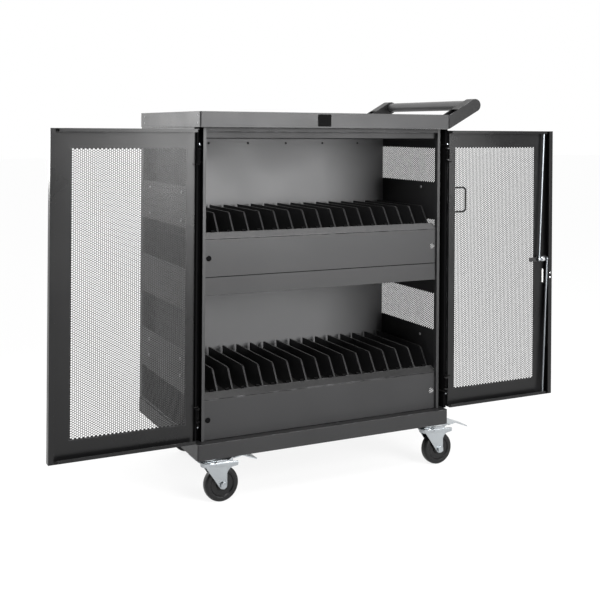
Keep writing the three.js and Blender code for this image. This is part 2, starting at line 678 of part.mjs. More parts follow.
// The cam inside the door: a two-armed plate with a boss for each rod, and a stop tongue.
function lockCam() {
  const arm = new THREE.Shape();
  arm.absarc(LOCK_X + CAM_PIN_RADIUS, LOCK_HEIGHT, 9, -Math.PI / 2, Math.PI / 2);
  arm.absarc(LOCK_X - CAM_PIN_RADIUS, LOCK_HEIGHT, 9, Math.PI / 2, 1.5 * Math.PI);
  const plate = extruded(arm, "y", CAM_FRONT, CAM_FRONT + 3.4, 4);
  const tongue = extruded(
    roundedRectangle(LOCK_X - 52, LOCK_HEIGHT - 8, LOCK_X - 5, LOCK_HEIGHT + 5, 3),
    "y", CAM_FRONT, CAM_FRONT + 2.4, 2,
  );
  const bosses = [-1, 1].map((side) =>
    rod(5, "y", [LOCK_X + side * CAM_PIN_RADIUS, 0, LOCK_HEIGHT], ROD_PLANE + ROD_RADIUS + 0.5, CAM_FRONT + 1),
  );
  return join(plate, tongue, ...bosses);
}

// A lock rod from the cam to the door's end: a straight slanting rod with an eye at the cam.
function lockRod(up) {
  const side = up ? -1 : 1;
  const eye = [LOCK_X + side * CAM_PIN_RADIUS, LOCK_HEIGHT];
  const tip = up ? DOOR_TOP - SHEET - 2.2 : DOOR_BOTTOM + SHEET + 2.2;
  const at = (x, z) => new THREE.Vector3(x, ROD_PLANE, z);
  const route = new THREE.LineCurve3(at(...eye), at(LOCK_X, tip));
  const section = [];
  for (let i = 0; i < 8; i++) {
    const turn = (i * Math.PI) / 4;
    section.push(new THREE.Vector2(ROD_RADIUS * Math.cos(turn), ROD_RADIUS * Math.sin(turn)));
  }
  const geometry = new THREE.ExtrudeGeometry(new THREE.Shape(section), { steps: 1, extrudePath: route });
  const ring = rod(7, "y", [eye[0], 0, eye[1]], ROD_PLANE - 2.5, ROD_PLANE + ROD_RADIUS, 14);
  return join(solid(geometry), ring);
}

// Casters, each built on its own swivel axis with the wheel trailing towards +X.
const PLATE_TOP = CASTER_HEIGHT - GAP;
const RACE_BOTTOM = 120.5;
function casterPlate() {
  const shape = roundedRectangle(-46, -36, 46, 36, 7);
  for (const x of [-36, 36]) {
    for (const y of [-26, 26]) shape.holes.push(hexagon(x, y, 4.5));
  }
  const plate = extruded(shape, "z", PLATE_TOP - 3, PLATE_TOP, 1);
  const race = turned(
    [[0, RACE_BOTTOM], [22, RACE_BOTTOM], [27, RACE_BOTTOM + 4], [27, PLATE_TOP - 6], [24, PLATE_TOP - 2],
      [0, PLATE_TOP - 2]],
    "z", [0, 0, 0], 12,
  );
  return join(plate, race);
}

const AXLE_PLACE = [CASTER_TRAIL, WHEEL_RADIUS];
function casterFork(withBrake) {
  const top = RACE_BOTTOM - GAP;
  const cheek = new THREE.Shape();
  cheek.moveTo(-18, top);
  cheek.lineTo(-18, top - 8);
  cheek.absarc(...AXLE_PLACE, 12, Math.PI * 1.2, Math.PI * 2);
  cheek.lineTo(AXLE_PLACE[0] + 12, top);
  const body = extruded(cheek, "y", -FORK_HALF_WIDTH, FORK_HALF_WIDTH, 4);
  const inner = FORK_HALF_WIDTH - FORK_PLATE;
  const space = block(-60, -inner, -10, 120, inner, top - 3.5);
  const bores = [rod(AXLE_RADIUS + GAP, "y", [AXLE_PLACE[0], 0, AXLE_PLACE[1]], -30, 30, 12)];
  if (withBrake) bores.push(rod(3, "y", [BRAKE_PIVOT[0], 0, BRAKE_PIVOT[1]], -30, 30, 8));
  return cut(body, space, ...bores);
}

function casterAxle() {
  const reach = FORK_HALF_WIDTH + GAP;
  const bolt = rod(AXLE_RADIUS, "y", [0, 0, 0], -reach - 5, reach + 5, 10);
  const head = rod(10, "y", [0, 0, 0], reach, reach + 5, 6);
  const nut = rod(10, "y", [0, 0, 0], -reach - 6, -reach, 6);
  return join(bolt, head, nut);
}

// A wheel: a round-shouldered tyre on a dished hub. Its flats are WHEEL_RADIUS from the axle.
function casterWheel() {
  const half = WHEEL_WIDTH / 2;
  const bore = AXLE_RADIUS + GAP;
  const side = [[bore, half], [15, half], [17, half - 5], [35, half - 5], [37, half - 1], [45, half - 1]];
  const tread = [[WHEEL_RADIUS / Math.cos(Math.PI / WHEEL_FACETS), half - 7]];
  const near = [...side, ...tread];
  const far = near.map(([radius, along]) => [radius, -along]).reverse();
  return turned([...near, ...far, near[0]], "y", [0, 0, 0], WHEEL_FACETS);
}

// A foot brake: a bent arm over the wheel, on a cross pin in the fork, with a shoe under it and a wide paddle.
function brakePedal() {
  const [pivotX, pivotZ] = BRAKE_PIVOT;
  const section = [
    [pivotX - 6, pivotZ + 3.5],
    [pivotX + 28, pivotZ + 3.5],
    [pivotX + 50, pivotZ + 15],
    [pivotX + 76, pivotZ + 19],
    [pivotX + 121, pivotZ + 2],
  ];
  const halfWidth = FORK_HALF_WIDTH - FORK_PLATE - 1.2;
  const arm = extruded(foldedSheet(section, -3), "y", -halfWidth, halfWidth);
  const paddle = extruded(foldedSheet(section.slice(2), -3), "y", -PADDLE_WIDTH / 2, PADDLE_WIDTH / 2);
  const pin = rod(2.6, "y", [pivotX, 0, pivotZ], -FORK_HALF_WIDTH - 2, FORK_HALF_WIDTH + 2, 10);
  const shoe = block(pivotX + 20, -9, pivotZ - 5.2, pivotX + 30, 9, pivotZ + 2);
  return join(arm, paddle, pin, shoe);
}

// A hollow arm of the push handle, from the cap's end up to its round tip.
function handleBracket(front) {
  const back = front + HANDLE_BRACKET_WIDTH;
  const arm = (inset, root) => {
    const shape = new THREE.Shape();
    const radius = HANDLE_TIP_RADIUS - inset;
    const rise = Math.atan2(HANDLE_TIP[1] - (CAP_BOTTOM + CAP_HEIGHT / 2), HANDLE_TIP[0] - HALF_WIDTH);
    shape.moveTo(root, CAP_TOP - 0.5 - inset);
    shape.lineTo(root, CAP_BOTTOM + 0.5 + inset);
    shape.absarc(...HANDLE_TIP, radius, rise - Math.PI / 2, rise + Math.PI / 2);
    return shape;
  };
  const root = HALF_WIDTH + GAP;
  const outer = extruded(arm(0, root), "y", front, back, 8);
  return cut(outer, extruded(arm(SHEET, root - 5), "y", front + SHEET, back - SHEET, 8));
}

// A bent wire loop on the right side panel to wind a lead on.
function cordWrapBracket() {
  const start = PANEL_OUTER + GAP;
  const reach = 112;
  const bend = 10;
  const y = 66;
  const [low, high] = [783, 860];
  const corner = (a, b, c) => new THREE.QuadraticBezierCurve3(a, b, c);
  const at = (x, z) => new THREE.Vector3(x, y, z);
  const route = new THREE.CurvePath();
  const tip = start + reach;
  route.add(new THREE.LineCurve3(at(start, low), at(tip - bend, low)));
  route.add(corner(at(tip - bend, low), at(tip, low), at(tip, low + bend)));
  route.add(new THREE.LineCurve3(at(tip, low + bend), at(tip, high - bend)));
  route.add(corner(at(tip, high - bend), at(tip, high), at(tip - bend, high)));
  route.add(new THREE.LineCurve3(at(tip - bend, high), at(start, high)));
  const section = new THREE.Shape().absarc(0, 0, 3, 0, 2 * Math.PI);
  const wire = solid(new THREE.ExtrudeGeometry(section, { steps: 20, extrudePath: route, curveSegments: 2 }));
  const feet = [low, high].map((z) => rod(9, "x", [0, y, z], start, start + 3, 12));
  return join(wire, ...feet);
}

const cart = new THREE.Group();
const cabinet = new THREE.Group();
cabinet.position.y = -BOX_CENTRE_Y;
cart.add(cabinet);
cabinet.add(
  piece("base_frame", baseFrame(), "blackPaint"),
  piece("power_inlet", powerInlet(), "blackPlastic"),
  piece("top_cap", topCap(), "blackPaint"),
  piece("badge_plate", badgePlate(), "blackPlastic"),
  piece("header_rail", headerRail(), "blackPaint"),
  piece("shelf_beam", frontChannel(BEAM_BOTTOM, UPPER_FASCIA_BOTTOM - GAP, FASCIA_RETURN * 2), "blackPaint"),
  piece("upper_fascia", fascia(UPPER_FASCIA_BOTTOM, UPPER_LIP_TOP), "blackPaint"),
  piece("lower_fascia", fascia(BASE_TOP + GAP, LOWER_LIP_TOP), "blackPaint"),
  piece("bay_back_panel", bayBackPanel(), "blackPaint"),
  piece("rear_frame", rearFrame(), "blackPaint"),
  piece("handle_front_bracket", handleBracket(0), "blackPaint"),
  piece("handle_rear_bracket", handleBracket(CART_DEPTH - HANDLE_BRACKET_WIDTH), "blackPaint"),
  piece("cord_wrap_bracket", cordWrapBracket(), "blackPaint"),
);
for (const [level, lipTop] of [["upper", UPPER_LIP_TOP], ["lower", LOWER_LIP_TOP]]) {
  cabinet.add(
    piece(level + "_shelf_deck", shelfDeck(lipTop), "blackPaint"),
    piece(level + "_divider_rack", dividerRack(lipTop), "blackPlastic"),
    piece(level + "_power_strip", powerStrip(lipTop), "blackPlastic"),
  );
}
const barFrom = HANDLE_BRACKET_WIDTH + GAP;
const barTo = CART_DEPTH - HANDLE_BRACKET_WIDTH - GAP;
const barCentre = [HANDLE_TIP[0], 0, HANDLE_TIP[1]];
cabinet.add(piece("handle_bar", rod(HANDLE_BAR_RADIUS, "y", barCentre, barFrom, barTo, 24), "grip"));

// What stands at both ends is drawn for the right-hand end and mirrored for the left.
for (const [side, turn] of [["right", 1], ["left", -1]]) {
  const end = new THREE.Group();
  end.scale.x = turn;
  const locked = side === "right";
  end.add(
    piece(side + "_side_panel", sidePanel(), "blackPaint"),
    piece(side + "_front_post", frontPost(), "blackPaint"),
    piece(side + "_door_frame", doorFrame(locked), "blackPaint"),
    piece(side + "_door_skin", doorSkin(locked), "blackPaint"),
    piece(side + "_upper_hinge_pin", hingePin(true), "zinc"),
    piece(side + "_lower_hinge_pin", hingePin(false), "zinc"),
    piece(side + "_rear_door", rearDoor(locked), "blackPaint"),
  );
  cabinet.add(end);
}
cabinet.add(
  piece("lock_escutcheon", lockEscutcheon(), "blackPlastic"),
  piece("lock_handle", lockHandle(), "blackPlastic"),
  piece("lock_cam", lockCam(), "zinc"),
  piece("upper_lock_rod", lockRod(true), "chrome"),
  piece("lower_lock_rod", lockRod(false), "chrome"),
  piece("rear_lock", rearLock(), "chrome"),
);

// All four casters trail to the right. The rear pair stand closer together.
const casterX = HALF_WIDTH - CASTER_INSET_X;
const rearCasterX = HALF_WIDTH - REAR_CASTER_INSET_X;
const corners = [
  ["front_left", -casterX, CASTER_INSET_Y],
  ["front_right", casterX, CASTER_INSET_Y],
  ["rear_left", -rearCasterX, CART_DEPTH - CASTER_INSET_Y],
  ["rear_right", rearCasterX, CART_DEPTH - CASTER_INSET_Y],
];
for (const [corner, x, y] of corners) {
  const braked = corner.startsWith("front");
  const caster = new THREE.Group();
  caster.position.set(x, y, 0);
  const axle = piece(corner + "_axle", casterAxle(), "zinc");
  const wheel = piece(corner + "_wheel", casterWheel(), "rubber");
  axle.position.set(AXLE_PLACE[0], 0, AXLE_PLACE[1]);
  wheel.position.copy(axle.position);
  wheel.rotation.y = Math.PI / WHEEL_FACETS;
  const plate = piece(corner + "_caster_plate", casterPlate(), "zinc");
  const fork = piece(corner + "_fork", casterFork(braked), "zinc");
  caster.add(plate, fork, axle, wheel);
  if (braked) caster.add(piece(corner + "_brake_pedal", brakePedal(), "zinc"));
  cabinet.add(caster);
}

export default cart;
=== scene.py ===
import math

import bmesh
import bpy
from mathutils import Matrix, Vector


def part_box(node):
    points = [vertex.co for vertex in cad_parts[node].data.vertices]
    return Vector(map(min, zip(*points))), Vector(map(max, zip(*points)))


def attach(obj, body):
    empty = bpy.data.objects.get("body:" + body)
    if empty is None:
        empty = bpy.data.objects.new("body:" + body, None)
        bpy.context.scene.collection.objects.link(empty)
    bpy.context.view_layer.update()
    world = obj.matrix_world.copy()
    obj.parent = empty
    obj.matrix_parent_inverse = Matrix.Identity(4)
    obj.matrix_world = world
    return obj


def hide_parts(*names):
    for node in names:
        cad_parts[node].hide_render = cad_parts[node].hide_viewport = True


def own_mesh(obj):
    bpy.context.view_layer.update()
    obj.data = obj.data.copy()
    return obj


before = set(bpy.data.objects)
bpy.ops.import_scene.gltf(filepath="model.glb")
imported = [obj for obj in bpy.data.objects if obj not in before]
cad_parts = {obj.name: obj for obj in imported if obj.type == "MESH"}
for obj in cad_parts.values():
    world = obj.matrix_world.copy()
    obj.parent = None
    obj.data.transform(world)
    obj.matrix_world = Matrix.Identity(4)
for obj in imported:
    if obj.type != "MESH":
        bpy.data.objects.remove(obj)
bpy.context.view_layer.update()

scene = bpy.context.scene
scene.view_settings.view_transform = "Standard"

# The viewpoint. A level lens stands to the left of the open cart at about cap height, and its frame is
# shifted down so that upright edges stay upright while the wheels come into the picture.
camera = bpy.data.objects.new("viewpoint", bpy.data.cameras.new("viewpoint"))
camera.data.sensor_width = 36
camera.data.lens = 58.75
camera.data.shift_y = -0.285
heading = Matrix.Rotation(math.radians(-26.45), 4, "Z")
level = Matrix.Rotation(math.radians(90), 4, "X")
lean = Matrix.Rotation(math.radians(0.41), 4, "Z")
camera.matrix_world = Matrix.Translation((-1.3534, -2.7725, 1.0434)) @ heading @ level @ lean
scene.collection.objects.link(camera)
scene.camera = camera


# The base is a tray of folded sheet steel with an inturned rim that the whole cabinet is bolted to.
# It is powder coated black like every other sheet of the cart, and its folds are slightly rounded.
def add_node(tree, kind, wires=None, **settings):
    """A node with its settings, and with each named or numbered input wired or filled in."""
    made = tree.nodes.new(kind)
    for label, value in settings.items():
        setattr(made, label, value)
    for socket, value in (wires or {}).items():
        if isinstance(value, bpy.types.NodeSocket):
            tree.links.new(value, made.inputs[socket])
        else:
            made.inputs[socket].default_value = value
    return made


def calculate(tree, operation, first, second=0.0):
    return add_node(tree, "ShaderNodeMath", {0: first, 1: second}, operation=operation).outputs[0]


def shader_group(name, inputs, outputs):
    """An empty shader group with named sockets, and its two end nodes."""
    group = bpy.data.node_groups.new(name, "ShaderNodeTree")
    for label, kind, value in inputs:
        socket = group.interface.new_socket(label, in_out="INPUT", socket_type=kind)
        socket.default_value = value
    for label, kind in outputs:
        group.interface.new_socket(label, in_out="OUTPUT", socket_type=kind)
    return group, group.nodes.new("NodeGroupInput").outputs, group.nodes.new("NodeGroupOutput").inputs


NUMBER, TINT = "NodeSocketFloat", "NodeSocketColor"

grain_group, given, result = shader_group(
    "surface_grain", [("Size", NUMBER, 0.001), ("Depth", NUMBER, 0.2)], [("Height", NUMBER), ("Shade", NUMBER)]
)
place = add_node(grain_group, "ShaderNodeTexCoord").outputs["Object"]
frequency = calculate(grain_group, "DIVIDE", 1.0, given["Size"])
pimples = add_node(grain_group, "ShaderNodeTexNoise", {"Vector": place, "Scale": frequency, "Detail": 2.0})
drift = add_node(grain_group, "ShaderNodeTexNoise", {"Vector": place, "Scale": 6.0, "Detail": 4.0})
height = calculate(grain_group, "MULTIPLY", pimples.outputs["Fac"], given["Depth"])
grain_group.links.new(height, result["Height"])
grain_group.links.new(drift.outputs["Fac"], result["Shade"])

# Rubbed edges: a lighter bare colour in patches on the rounded strips, partly real wear and partly a painted highlight
# along the edges.
rub_and_highlight_group, given, result = shader_group(
    "rubbed_edges_and_highlights",
    [("Colour", TINT, (0, 0, 0, 1)), ("Bare and highlight", TINT, (1, 1, 1, 1)), ("Amount", NUMBER, 0.5)],
    [("Colour", TINT), ("Mask", NUMBER)],
)
place = add_node(rub_and_highlight_group, "ShaderNodeTexCoord").outputs["Object"]
folded = add_node(rub_and_highlight_group, "ShaderNodeAttribute", attribute_name="edge").outputs["Fac"]
patches = add_node(rub_and_highlight_group, "ShaderNodeTexNoise", {"Vector": place, "Scale": 45.0, "Detail": 5.0})
wear_and_highlight_patches = add_node(
    rub_and_highlight_group, "ShaderNodeMapRange", {0: patches.outputs["Fac"], 1: 0.42, 2: 0.7, 3: 0.0, 4: 1.0}
).outputs[0]
mask = calculate(rub_and_highlight_group, "MULTIPLY", calculate(rub_and_highlight_group, "MULTIPLY", folded, wear_and_highlight_patches), given["Amount"])
rubbed_and_highlighted = add_node(
    rub_and_highlight_group, "ShaderNodeMix", {"Factor": mask, 6: given["Colour"], 7: given["Bare and highlight"]}, data_type="RGBA"
)
rub_and_highlight_group.links.new(rubbed_and_highlighted.outputs[2], result["Colour"])
rub_and_highlight_group.links.new(mask, result["Mask"])

dust_group, given, result = shader_group(
    "settled_dust", [("Colour", TINT, (0, 0, 0, 1)), ("Amount", NUMBER, 0.1)], [("Colour", TINT), ("Mask", NUMBER)]
)
place = add_node(dust_group, "ShaderNodeTexCoord").outputs["Object"]
upright = add_node(dust_group, "ShaderNodeSeparateXYZ", {0: add_node(dust_group, "ShaderNodeNewGeometry").outputs[1]})
upward = add_node(dust_group, "ShaderNodeMapRange", {0: upright.outputs[2], 1: 0.5, 2: 1.0}).outputs[0]
specks = add_node(dust_group, "ShaderNodeTexNoise", {"Vector": place, "Scale": 160.0, "Detail": 6.0})
cloud = add_node(dust_group, "ShaderNodeMapRange", {0: specks.outputs["Fac"], 1: 0.35, 2: 0.75}).outputs[0]
mask = calculate(dust_group, "MULTIPLY", calculate(dust_group, "MULTIPLY", upward, cloud), given["Amount"])
dusted = add_node(
    dust_group, "ShaderNodeMix", {"Factor": mask, 6: given["Colour"], 7: (0.45, 0.43, 0.4, 1)}, data_type="RGBA"
)
dust_group.links.new(dusted.outputs[2], result["Colour"])
dust_group.links.new(mask, result["Mask"])


def finish(
    name, colour, bare_and_highlight, roughness, grain_size, grain_depth, rub_and_highlight, dust, metallic=0.0, spread=0.12, shine=0.5
):
    """A surface with grain in its relief and gloss, rubbed edges that are partly wear and partly a painted highlight,
    and a little dust on what faces up.
    """
    material = bpy.data.materials.new(name)
    material.use_nodes = True
    tree = material.node_tree
    shader = tree.nodes["Principled BSDF"]
    shader.inputs["Metallic"].default_value = metallic
    shader.inputs["Specular IOR Level"].default_value = shine
    grain = add_node(tree, "ShaderNodeGroup", node_tree=grain_group)
    grain.inputs["Size"].default_value = grain_size
    grain.inputs["Depth"].default_value = grain_depth
    darker = [c * (1 - spread) for c in colour] + [1]
    lighter = [c * (1 + spread) for c in colour] + [1]
    tone = add_node(
        tree, "ShaderNodeMix", {"Factor": grain.outputs["Shade"], 6: darker, 7: lighter}, data_type="RGBA"
    )
    rubbing_and_highlight = add_node(tree, "ShaderNodeGroup", node_tree=rub_and_highlight_group)
    tree.links.new(tone.outputs[2], rubbing_and_highlight.inputs["Colour"])
    rubbing_and_highlight.inputs["Bare and highlight"].default_value = list(bare_and_highlight) + [1]
    rubbing_and_highlight.inputs["Amount"].default_value = rub_and_highlight
    dusting = add_node(tree, "ShaderNodeGroup", node_tree=dust_group)
    tree.links.new(rubbing_and_highlight.outputs["Colour"], dusting.inputs["Colour"])
    dusting.inputs["Amount"].default_value = dust
    tree.links.new(dusting.outputs["Colour"], shader.inputs["Base Color"])
    gloss = add_node(
        tree, "ShaderNodeMapRange",
        {0: grain.outputs["Shade"], 1: 0.3, 2: 0.7, 3: roughness - 0.06, 4: roughness + 0.06},
    )
    dulled = calculate(tree, "ADD", gloss.outputs[0], calculate(tree, "MULTIPLY", dusting.outputs["Mask"], 0.3))
    tree.links.new(dulled, shader.inputs["Roughness"])
    relief = add_node(tree, "ShaderNodeBump", {"Height": grain.outputs["Height"], "Distance": grain_size * 0.5})
    tree.links.new(relief.outputs[0], shader.inputs["Normal"])
    return material


black_coat = finish(
    "black_powder_coat", (0.014, 0.014, 0.0146), (0.3, 0.3, 0.31), 0.42, 0.0011, 0.3, 0.25, 0.08, shine=0.28
)
black_moulding = finish(
    "black_moulded_plastic", (0.01, 0.01, 0.0105), (0.05, 0.05, 0.052), 0.4, 0.0007, 0.25, 0.4, 0.06, shine=0.35
)


def keep_piece(name, mesh, body, material, replaced=()):
    """Stands a finished mesh in the cart: on its body, in place of the solids it stands for."""
    piece = bpy.data.objects.new(name, mesh)
    scene.collection.objects.link(piece)
    if material:
        mesh.materials.clear()
        mesh.materials.append(material)
    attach(piece, body)
    if replaced:
        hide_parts(*replaced)
    return piece


FLAT_AREA = 0.0004


def rounded(name, node, radius, body, material, segments=2):
    """A solid with every sharp edge rounded off. Its rounded strips are marked as edges for the wear and the painted
    edge highlight.
    """
    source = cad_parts[node].data
    mesh = bpy.data.meshes.new(name)
    mesh.from_pydata([v.co for v in source.vertices], [], [p.vertices[:] for p in source.polygons])
    work = bmesh.new()
    work.from_mesh(mesh)
    bmesh.ops.remove_doubles(work, verts=work.verts, dist=2e-5)
    flat = [e for e in work.edges if len(e.link_faces) == 2 and e.calc_face_angle(0) < math.radians(0.5)]
    bmesh.ops.beautify_fill(work, faces=work.faces[:], edges=flat, method="AREA")
    bmesh.ops.dissolve_limit(work, angle_limit=math.radians(1), verts=work.verts, edges=work.edges)
    sharp = [e for e in work.edges if len(e.link_faces) == 2 and e.calc_face_angle(0) > math.radians(32)]
    for face in work.faces:
        face.smooth = face.calc_area() < FLAT_AREA
    mark = work.faces.layers.float.new("edge")
    strips = bmesh.ops.bevel(
        work, geom=sharp, offset=radius, segments=segments, profile=0.5, affect="EDGES", clamp_overlap=True
    )["faces"]
    for face in strips:
        face[mark] = 1.0
        face.smooth = True
    for edge in work.edges:
        rims = [face[mark] for face in edge.link_faces]
        if len(rims) == 2 and (rims[0] != rims[1] or edge.calc_face_angle(0) > math.radians(60)):
            edge.smooth = False
    work.to_mesh(mesh)
    work.free()
    return keep_piece(name, mesh, body, material, [node])


# The base takes a darker copy of the black coat with little dust: painted shade, so its ledge and its reflection in
# the fascia above stay dark.
shaded_base_coat = finish(
    "base_coat_painted_shade", (0.01, 0.01, 0.0105), (0.3, 0.3, 0.31), 0.42, 0.0011, 0.3, 0.3, 0.01, shine=0.31
)
FOLD = 0.0007
rounded("base_tray", "base_frame", FOLD, "cabinet", shaded_base_coat)
rounded("mains_inlet", "power_inlet", 0.0004, "cabinet", black_moulding)


# Each side is a flat sheet with four bands of fine hexagonal perforation punched in it for air. The holes
# stand in upright columns, every second column half a hole lower, with a plain rim between the bands.
def node_tree(name, sizes):
    """An empty geometry tree with named inputs for its sizes, and its two end nodes."""
    tree = bpy.data.node_groups.new(name, "GeometryNodeTree")
    tree.interface.new_socket("Geometry", in_out="INPUT", socket_type="NodeSocketGeometry")
    tree.interface.new_socket("Geometry", in_out="OUTPUT", socket_type="NodeSocketGeometry")
    for label, kind in sizes:
        tree.interface.new_socket(label, in_out="INPUT", socket_type="NodeSocket" + kind)
    return tree, tree.nodes.new("NodeGroupInput").outputs, tree.nodes.new("NodeGroupOutput").inputs


def grown(name, tree, values, start=None, place=None):
    """The plain mesh that a geometry tree makes from these sizes, moved to its place."""
    holder = bpy.data.objects.new(name, start or bpy.data.meshes.new(name))
    scene.collection.objects.link(holder)
    modifier = holder.modifiers.new("growth", "NODES")
    modifier.node_group = tree
    for item in tree.interface.items_tree:
        if item.in_out == "INPUT" and item.name in values:
            modifier[item.identifier] = values[item.name]
    evaluated = holder.evaluated_get(bpy.context.evaluated_depsgraph_get())
    mesh = bpy.data.meshes.new_from_object(evaluated)
    holder.modifiers.clear()
    used = holder.data
    bpy.data.objects.remove(holder)
    bpy.data.meshes.remove(used)
    mesh.name = name
    if place:
        mesh.transform(place)
    return mesh


punched, given, result = node_tree(
    "punched_sheet",
    [("Columns", "Int"), ("Rows", "Int"), ("Pitch", "Float"), ("Hole", "Float"), ("Thickness", "Float"),
     ("From", "Int"), ("To", "Int"), ("Finish", "Material")],
)


def between(tree, value, low, high):
    above = calculate(tree, "GREATER_THAN", value, low)
    return calculate(tree, "MULTIPLY", above, calculate(tree, "LESS_THAN", value, high))


corner_radius = calculate(punched, "DIVIDE", given["Pitch"], math.sqrt(3))
column_step = calculate(punched, "MULTIPLY", corner_radius, 1.5)
across = calculate(punched, "MULTIPLY", calculate(punched, "SUBTRACT", given["Columns"], 1), column_step)
along = calculate(punched, "MULTIPLY", calculate(punched, "SUBTRACT", given["Rows"], 1), given["Pitch"])
lattice = add_node(
    punched, "GeometryNodeMeshGrid",
    {"Size X": across, "Size Y": along, "Vertices X": given["Columns"], "Vertices Y": given["Rows"]},
)
index = add_node(punched, "GeometryNodeInputIndex").outputs[0]
column = calculate(punched, "FLOOR", calculate(punched, "DIVIDE", index, given["Rows"]))
row = calculate(punched, "MODULO", index, given["Rows"])
lowered = calculate(punched, "MULTIPLY", calculate(punched, "MODULO", column, 2), given["Pitch"])
shift = add_node(punched, "ShaderNodeCombineXYZ", {"Y": calculate(punched, "MULTIPLY", lowered, 0.5)}).outputs[0]
staggered = add_node(punched, "GeometryNodeSetPosition", {"Geometry": lattice.outputs["Mesh"], "Offset": shift})
last_column = calculate(punched, "SUBTRACT", given["Columns"], 1.5)
last_row = calculate(punched, "SUBTRACT", given["Rows"], 1.5)
inside = calculate(
    punched, "MULTIPLY", between(punched, column, 0.5, last_column), between(punched, row, 0.5, last_row)
)
first_kept = calculate(punched, "SUBTRACT", given["From"], 0.5)
last_kept = calculate(punched, "SUBTRACT", given["To"], 0.5)
kept = between(punched, row, first_kept, last_kept)
plain_cell = add_node(
    punched, "GeometryNodeMeshCircle", {"Vertices": 6, "Radius": corner_radius}, fill_type="NGON"
).outputs[0]
inset = add_node(punched, "GeometryNodeExtrudeMesh", {"Mesh": plain_cell, "Offset Scale": 0.0, "Individual": True})
hole_share = calculate(punched, "DIVIDE", given["Hole"], given["Pitch"])
shrunk = add_node(
    punched, "GeometryNodeScaleElements",
    {"Geometry": inset.outputs["Mesh"], "Selection": inset.outputs["Top"], "Scale": hole_share},
)
holed_cell = add_node(
    punched, "GeometryNodeDeleteGeometry",
    {"Geometry": shrunk.outputs[0], "Selection": inset.outputs["Top"]}, domain="FACE",
).outputs[0]
outside = calculate(punched, "SUBTRACT", 1.0, inside)
cells = add_node(punched, "GeometryNodeJoinGeometry")
for chosen, cell in ((outside, plain_cell), (inside, holed_cell)):
    copies = add_node(
        punched, "GeometryNodeInstanceOnPoints",
        {
            "Points": staggered.outputs[0], "Selection": calculate(punched, "MULTIPLY", chosen, kept),
            "Instance": cell,
        },
    )
    punched.links.new(copies.outputs[0], cells.inputs[0])
loose = add_node(punched, "GeometryNodeRealizeInstances", {0: cells.outputs[0]})
weld = calculate(punched, "MULTIPLY", given["Pitch"], 0.02)
sheet = add_node(punched, "GeometryNodeMergeByDistance", {"Geometry": loose.outputs[0], "Distance": weld})
raised = add_node(
    punched, "GeometryNodeExtrudeMesh",
    {"Mesh": sheet.outputs[0], "Offset Scale": given["Thickness"], "Individual": False},
)
under = add_node(punched, "GeometryNodeFlipFaces", {"Mesh": sheet.outputs[0]})
walls = add_node(punched, "GeometryNodeJoinGeometry")
for layer in (raised.outputs["Mesh"], under.outputs[0]):
    punched.links.new(layer, walls.inputs[0])
closed = add_node(punched, "GeometryNodeMergeByDistance", {"Geometry": walls.outputs[0], "Distance": weld})
coated = add_node(punched, "GeometryNodeSetMaterial", {"Geometry": closed.outputs[0], "Material": given["Finish"]})
punched.links.new(coated.outputs[0], result[0])

HOLE_PITCH = 0.0063
SIDE_HOLE = 0.0046
COLUMN_STEP = HOLE_PITCH * math.sqrt(3) / 2
MESH_THICKNESS = 0.001


def punched_field(name, low, high, to_place, hole, coat, parts=1):
    """Perforation that fills a rectangle, ringed by plain cells, and the window it needs in the plain sheet."""
    columns = int((high[0] - low[0]) / COLUMN_STEP) + 2
    rows = int((high[1] - low[1]) / HOLE_PITCH) + 2
    middle = Vector(((low[0] + high[0]) / 2, (low[1] + high[1]) / 2 - HOLE_PITCH / 4, -MESH_THICKNESS / 2))
    sizes = {
        "Columns": columns, "Rows": rows, "Pitch": HOLE_PITCH, "Hole": hole,
        "Thickness": MESH_THICKNESS, "Finish": coat,
    }
    meshes = []
    for part in range(parts):
        share = {"From": rows * part // parts, "To": rows * (part + 1) // parts}
        label = name + "_" + str(part + 1)
        meshes.append(grown(label, punched, sizes | share, place=to_place @ Matrix.Translation(middle)))
    half_across = (columns - 1) * COLUMN_STEP / 2
    half_along = (rows - 1) * HOLE_PITCH / 2
    window_low = (middle.x - half_across, middle.y - half_along + 0.3 * HOLE_PITCH)
    window_high = (middle.x + half_across, middle.y + half_along + 0.2 * HOLE_PITCH)
    return meshes, window_low, window_high


def windowed_sheet(name, low, high, windows, thickness, to_place):
    """A plain sheet with windows one above the other, with softly broken edges."""
    work = bmesh.new()
    across_cuts = [low[0], windows[0][0][0], windows[0][1][0], high[0]]
    along_cuts = [low[1]] + [level for window in windows for level in (window[0][1], window[1][1])] + [high[1]]
    corners = [[work.verts.new((x, y, -thickness / 2)) for y in along_cuts] for x in across_cuts]
    for i in range(3):
        for j in range(len(along_cuts) - 1):
            if i != 1 or j % 2 == 0:
                ring = [corners[i][j], corners[i + 1][j], corners[i + 1][j + 1], corners[i][j + 1]]
                work.faces.new(ring)
    raised_part = bmesh.ops.extrude_face_region(work, geom=work.faces[:])["geom"]
    lifted = [v for v in raised_part if isinstance(v, bmesh.types.BMVert)]
    bmesh.ops.translate(work, verts=lifted, vec=(0, 0, thickness))
    bmesh.ops.recalc_face_normals(work, faces=work.faces[:])
    bmesh.ops.dissolve_limit(work, angle_limit=math.radians(1), verts=work.verts, edges=work.edges)
    mark = work.faces.layers.float.new("edge")
    sharp = [e for e in work.edges if e.calc_face_angle(0) > 1]
    for face in bmesh.ops.bevel(work, geom=sharp, offset=0.0003, segments=1, affect="EDGES")["faces"]:
        face[mark] = 1.0
    mesh = bpy.data.meshes.new(name)
    work.to_mesh(mesh)
    work.free()
    mesh.transform(to_place)
    return mesh


